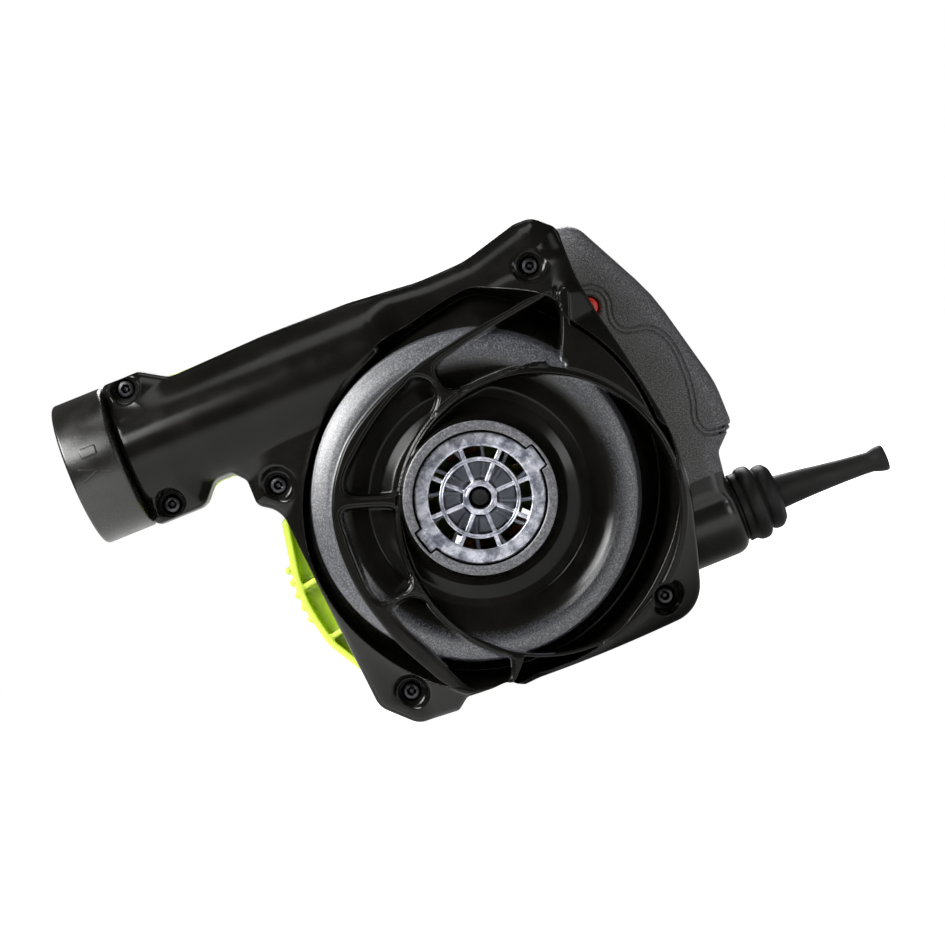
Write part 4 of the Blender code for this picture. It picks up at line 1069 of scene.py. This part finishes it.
trigger = cast("trigger_lever", trigger_field, (48, 77.8, 18), (76, 94.2, 54), 0.4)
dress(trigger, "trigger", SATIN, "black_plastic", "trigger")

# -------- cord gland and sleeve

ridges = [(8.4, 96), (15.0, 96), (15.0, TAIL_END + 0.4), (16.2, TAIL_END + 0.6), (16.0, 111.4)]
for centre, radius, half in ((115.4, 17.6, 3.4), (123.0, 15.4, 3.2)):
    for share in range(7):
        swing = math.radians(-75 + 25 * share)
        ridges.append((radius - 1.7 + 1.7 * math.cos(swing), centre + half * math.sin(swing)))
ridges += [(12.4, 127.6), (8.4, 127.8)]
gland = lathe("gland_bellows", ridges, (0, TAIL_Z), HANDLE_DEPTH, steps=128, bevel=0.5)
dress(gland, "housing", RUBBER, "rubber", "gland_collar")

SLEEVE = [
    (93.0, 0, 9.6), (93.4, 0, 10.0), (95.0, 0, 10.0), (95.4, 0, 7.9), (128, 0, 7.9), (130, 0, 7.8),
    (134, -0.2, 7.4), (142, -0.6, 6.7), (150, -1.2, 6.0), (160, -1.9, 5.3), (168, -2.5, 4.9),
    (172.6, -2.9, 4.8), (174.2, -3.0, 5.3), (176.0, -3.1, 5.8), (178.0, -3.3, 6.1), (179.4, -3.4, 6.1),
    (180.0, -3.4, 5.7), (180.0, -3.4, 3.8), (178.6, -3.4, 3.3), (150, -1.2, 3.2), (128, 0, 3.3),
    (94, 0, 3.3), (93.0, 0, 3.8),
]


def sleeve_ring(x, drop, radius, steps=64):
    ring = []
    for k in range(steps):
        across, up = polar(radius, 360.0 * k / steps)
        ring.append((x, HANDLE_DEPTH + across, TAIL_Z + drop + up))
    return ring


sleeve = tube("sleeve_taper", [sleeve_ring(*section) for section in SLEEVE])
dress(sleeve, "housing", RUBBER, "rubber", "cord_sleeve")

# -------- motor end cap and brush caps

WIDTH = 170.0


def end_cap(x, d, z):
    """Domed cap with a ring of air slots, two screw ears and the rear bearing seat."""
    radius = np.hypot(x, z)
    front = BARREL_END + 2 * GAP
    outer = smax(radius - BARREL, d - WIDTH, 12.0)
    body = smax(outer, front - d, 1.0)
    inner = smax(radius - BARREL + 3.4, d - WIDTH + 3.2, 9.0)
    body = np.maximum(body, -inner)
    body = smin(body, np.maximum(slab(radius, 9.9, 13.0), slab(d, 142.0, WIDTH - 2)), 0.6)
    for angle in EARS:
        ear = smax(ball(x, z, polar(EAR_REACH, angle), EAR_RADIUS), slab(d, front, front + 5.0), 0.8)
        body = smin(body, ear, 1.5)
        body = np.maximum(body, -ball(x, z, polar(EAR_SCREW_REACH, angle), EAR_HOLE))
    for index in range(8):
        across, up = turned_about(x, z, 45.0 * index)
        slot = smax(slab(up, -2.2, 2.2), slab(across, 16.0, 33.0), 2.6)
        body = smax(body, -np.maximum(slot, 160.0 - d), 0.6)
    dish = np.maximum(radius - 11.0, WIDTH - 0.8 - d)
    return smax(body, -dish, 0.5)


cap = cast("motor_back_cap", end_cap, (-46, 141.8, -46), (46, WIDTH, 46), 0.6)
dress(cap, "housing", SATIN, "black_plastic", "motor_end_cap")


def brush_cap(side):
    def shape(x, d, z):
        reach = x * side
        body = smax(np.hypot(d - BRUSH_DEPTH, z) - 8.2, slab(reach, 41.5, 44.2), 0.7)
        return smax(body, -np.maximum(np.abs(z) - 0.7, 43.2 - reach), 0.2)
    return shape


for name, side in (("left", -1), ("right", 1)):
    low_x, high_x = sorted((side * 41.4, side * 44.4))
    made = cast("brush_plug_" + name, brush_cap(side), (low_x, 124.6, -8.4), (high_x, 141.4, 8.4), 0.26)
    dress(made, "housing", SATIN, "black_plastic", "brush_cap_" + name)

# -------- CAD pieces that stay

KEPT = {
    BRIGHT: ["fan_washer", "bearing_front", "bearing_rear", "brush_spring_left", "brush_spring_right",
             "lock_spring"],
    IRON: ["armature_core", "field_core"],
    COPPER: ["armature_winding_front", "armature_winding_rear", "field_coil_upper", "field_coil_lower"],
    BRASS: ["commutator", "brush_holder_left", "brush_holder_right"],
    CARBON: ["carbon_brush_left", "carbon_brush_right"],
    RESIN: ["switch", "terminal_block", "cord_clamp"],
    FILM: ["capacitor"],
    STEEL: ["motor_shaft", "cap_screw_1", "cap_screw_2", "clamp_screw_1", "clamp_screw_2"],
}
for finish, names in KEPT.items():
    for name in names:
        for material_slot in NODES[name].material_slots:
            material_slot.material = finish

# -------- camera, light and floor

camera_data = bpy.data.cameras.new("camera")
camera = add_object("camera", camera_data)
bpy.context.scene.camera = camera
ROLL = math.radians(22.0)
DISTANCE = 1050.0
AMBIENT = 0.06
camera_data.sensor_width = 36.0
camera_data.lens = 90.9
camera_data.clip_start, camera_data.clip_end = 0.01, 50.0
camera.location = spot(1.0, 36.0 - DISTANCE, 11.2)
camera.rotation_euler = (Matrix.Rotation(ROLL, 3, "Y") @ Matrix.Rotation(math.pi / 2, 3, "X")).to_euler()

world = bpy.data.worlds.new("studio")
world.use_nodes = True
bpy.context.scene.world = world
nodes, links = world.node_tree.nodes, world.node_tree.links
path = nodes.new("ShaderNodeLightPath")
strength = nodes.new("ShaderNodeMapRange")
strength.inputs["To Min"].default_value = AMBIENT
strength.inputs["To Max"].default_value = 1.0
links.new(path.outputs["Is Camera Ray"], strength.inputs["Value"])
links.new(strength.outputs["Result"], nodes["Background"].inputs["Strength"])
nodes["Background"].inputs["Color"].default_value = (1.0, 1.0, 1.0, 1.0)


def softbox(name, place, target, width, height, power):
    data = bpy.data.lights.new(name, "AREA")
    data.shape = "RECTANGLE"
    data.size, data.size_y, data.energy = width, height, power
    made = add_object(name, data)
    made.location = place
    made.rotation_euler = (Vector(target) - Vector(place)).to_track_quat("-Z", "Y").to_euler()


AIM = (0.0, -0.04, 0.09)
softbox("key_left", (-0.56, -0.43, 0.62), AIM, 0.45, 0.35, 14.5)
softbox("top", (0.15, -0.25, 1.15), AIM, 0.9, 0.3, 2.4)
softbox("right", (1.0, -0.20, 0.25), AIM, 0.3, 0.8, 1.0)
softbox("sheen_left", (-0.36, -0.74, 0.56), AIM, 0.3, 0.22, 3)
softbox("sheen_right", (0.55, -0.74, 0.14), AIM, 0.22, 0.22, 1.0)
softbox("back", (0.2, 0.9, 0.8), (0, 0, 0.09), 0.6, 0.6, 8)

FLOOR_HALF = 6.0
FLOOR_Z = -0.0005
floor_corners = [(x * FLOOR_HALF, y * FLOOR_HALF, FLOOR_Z)
                 for x, y in ((-1, -1), (1, -1), (1, 1), (-1, 1))]
floor = mesh_object("floor", np.array(floor_corners), np.array([[0, 1, 2, 3]]))
g = Graph("floor_white")
g.feed(g.mix(g.noise(3.0, 2.0), (0.76, 0.76, 0.76), (0.80, 0.80, 0.80)), "Base Color")
g.set(Roughness=0.6, **{"Emission Color": (1, 1, 1, 1)})
g.feed(g.node("ShaderNodeLightPath").outputs["Is Camera Ray"], "Emission Strength")
floor.data.materials.append(g.made)
view = bpy.context.scene.view_settings
view.view_transform, view.look = "Standard", "None"
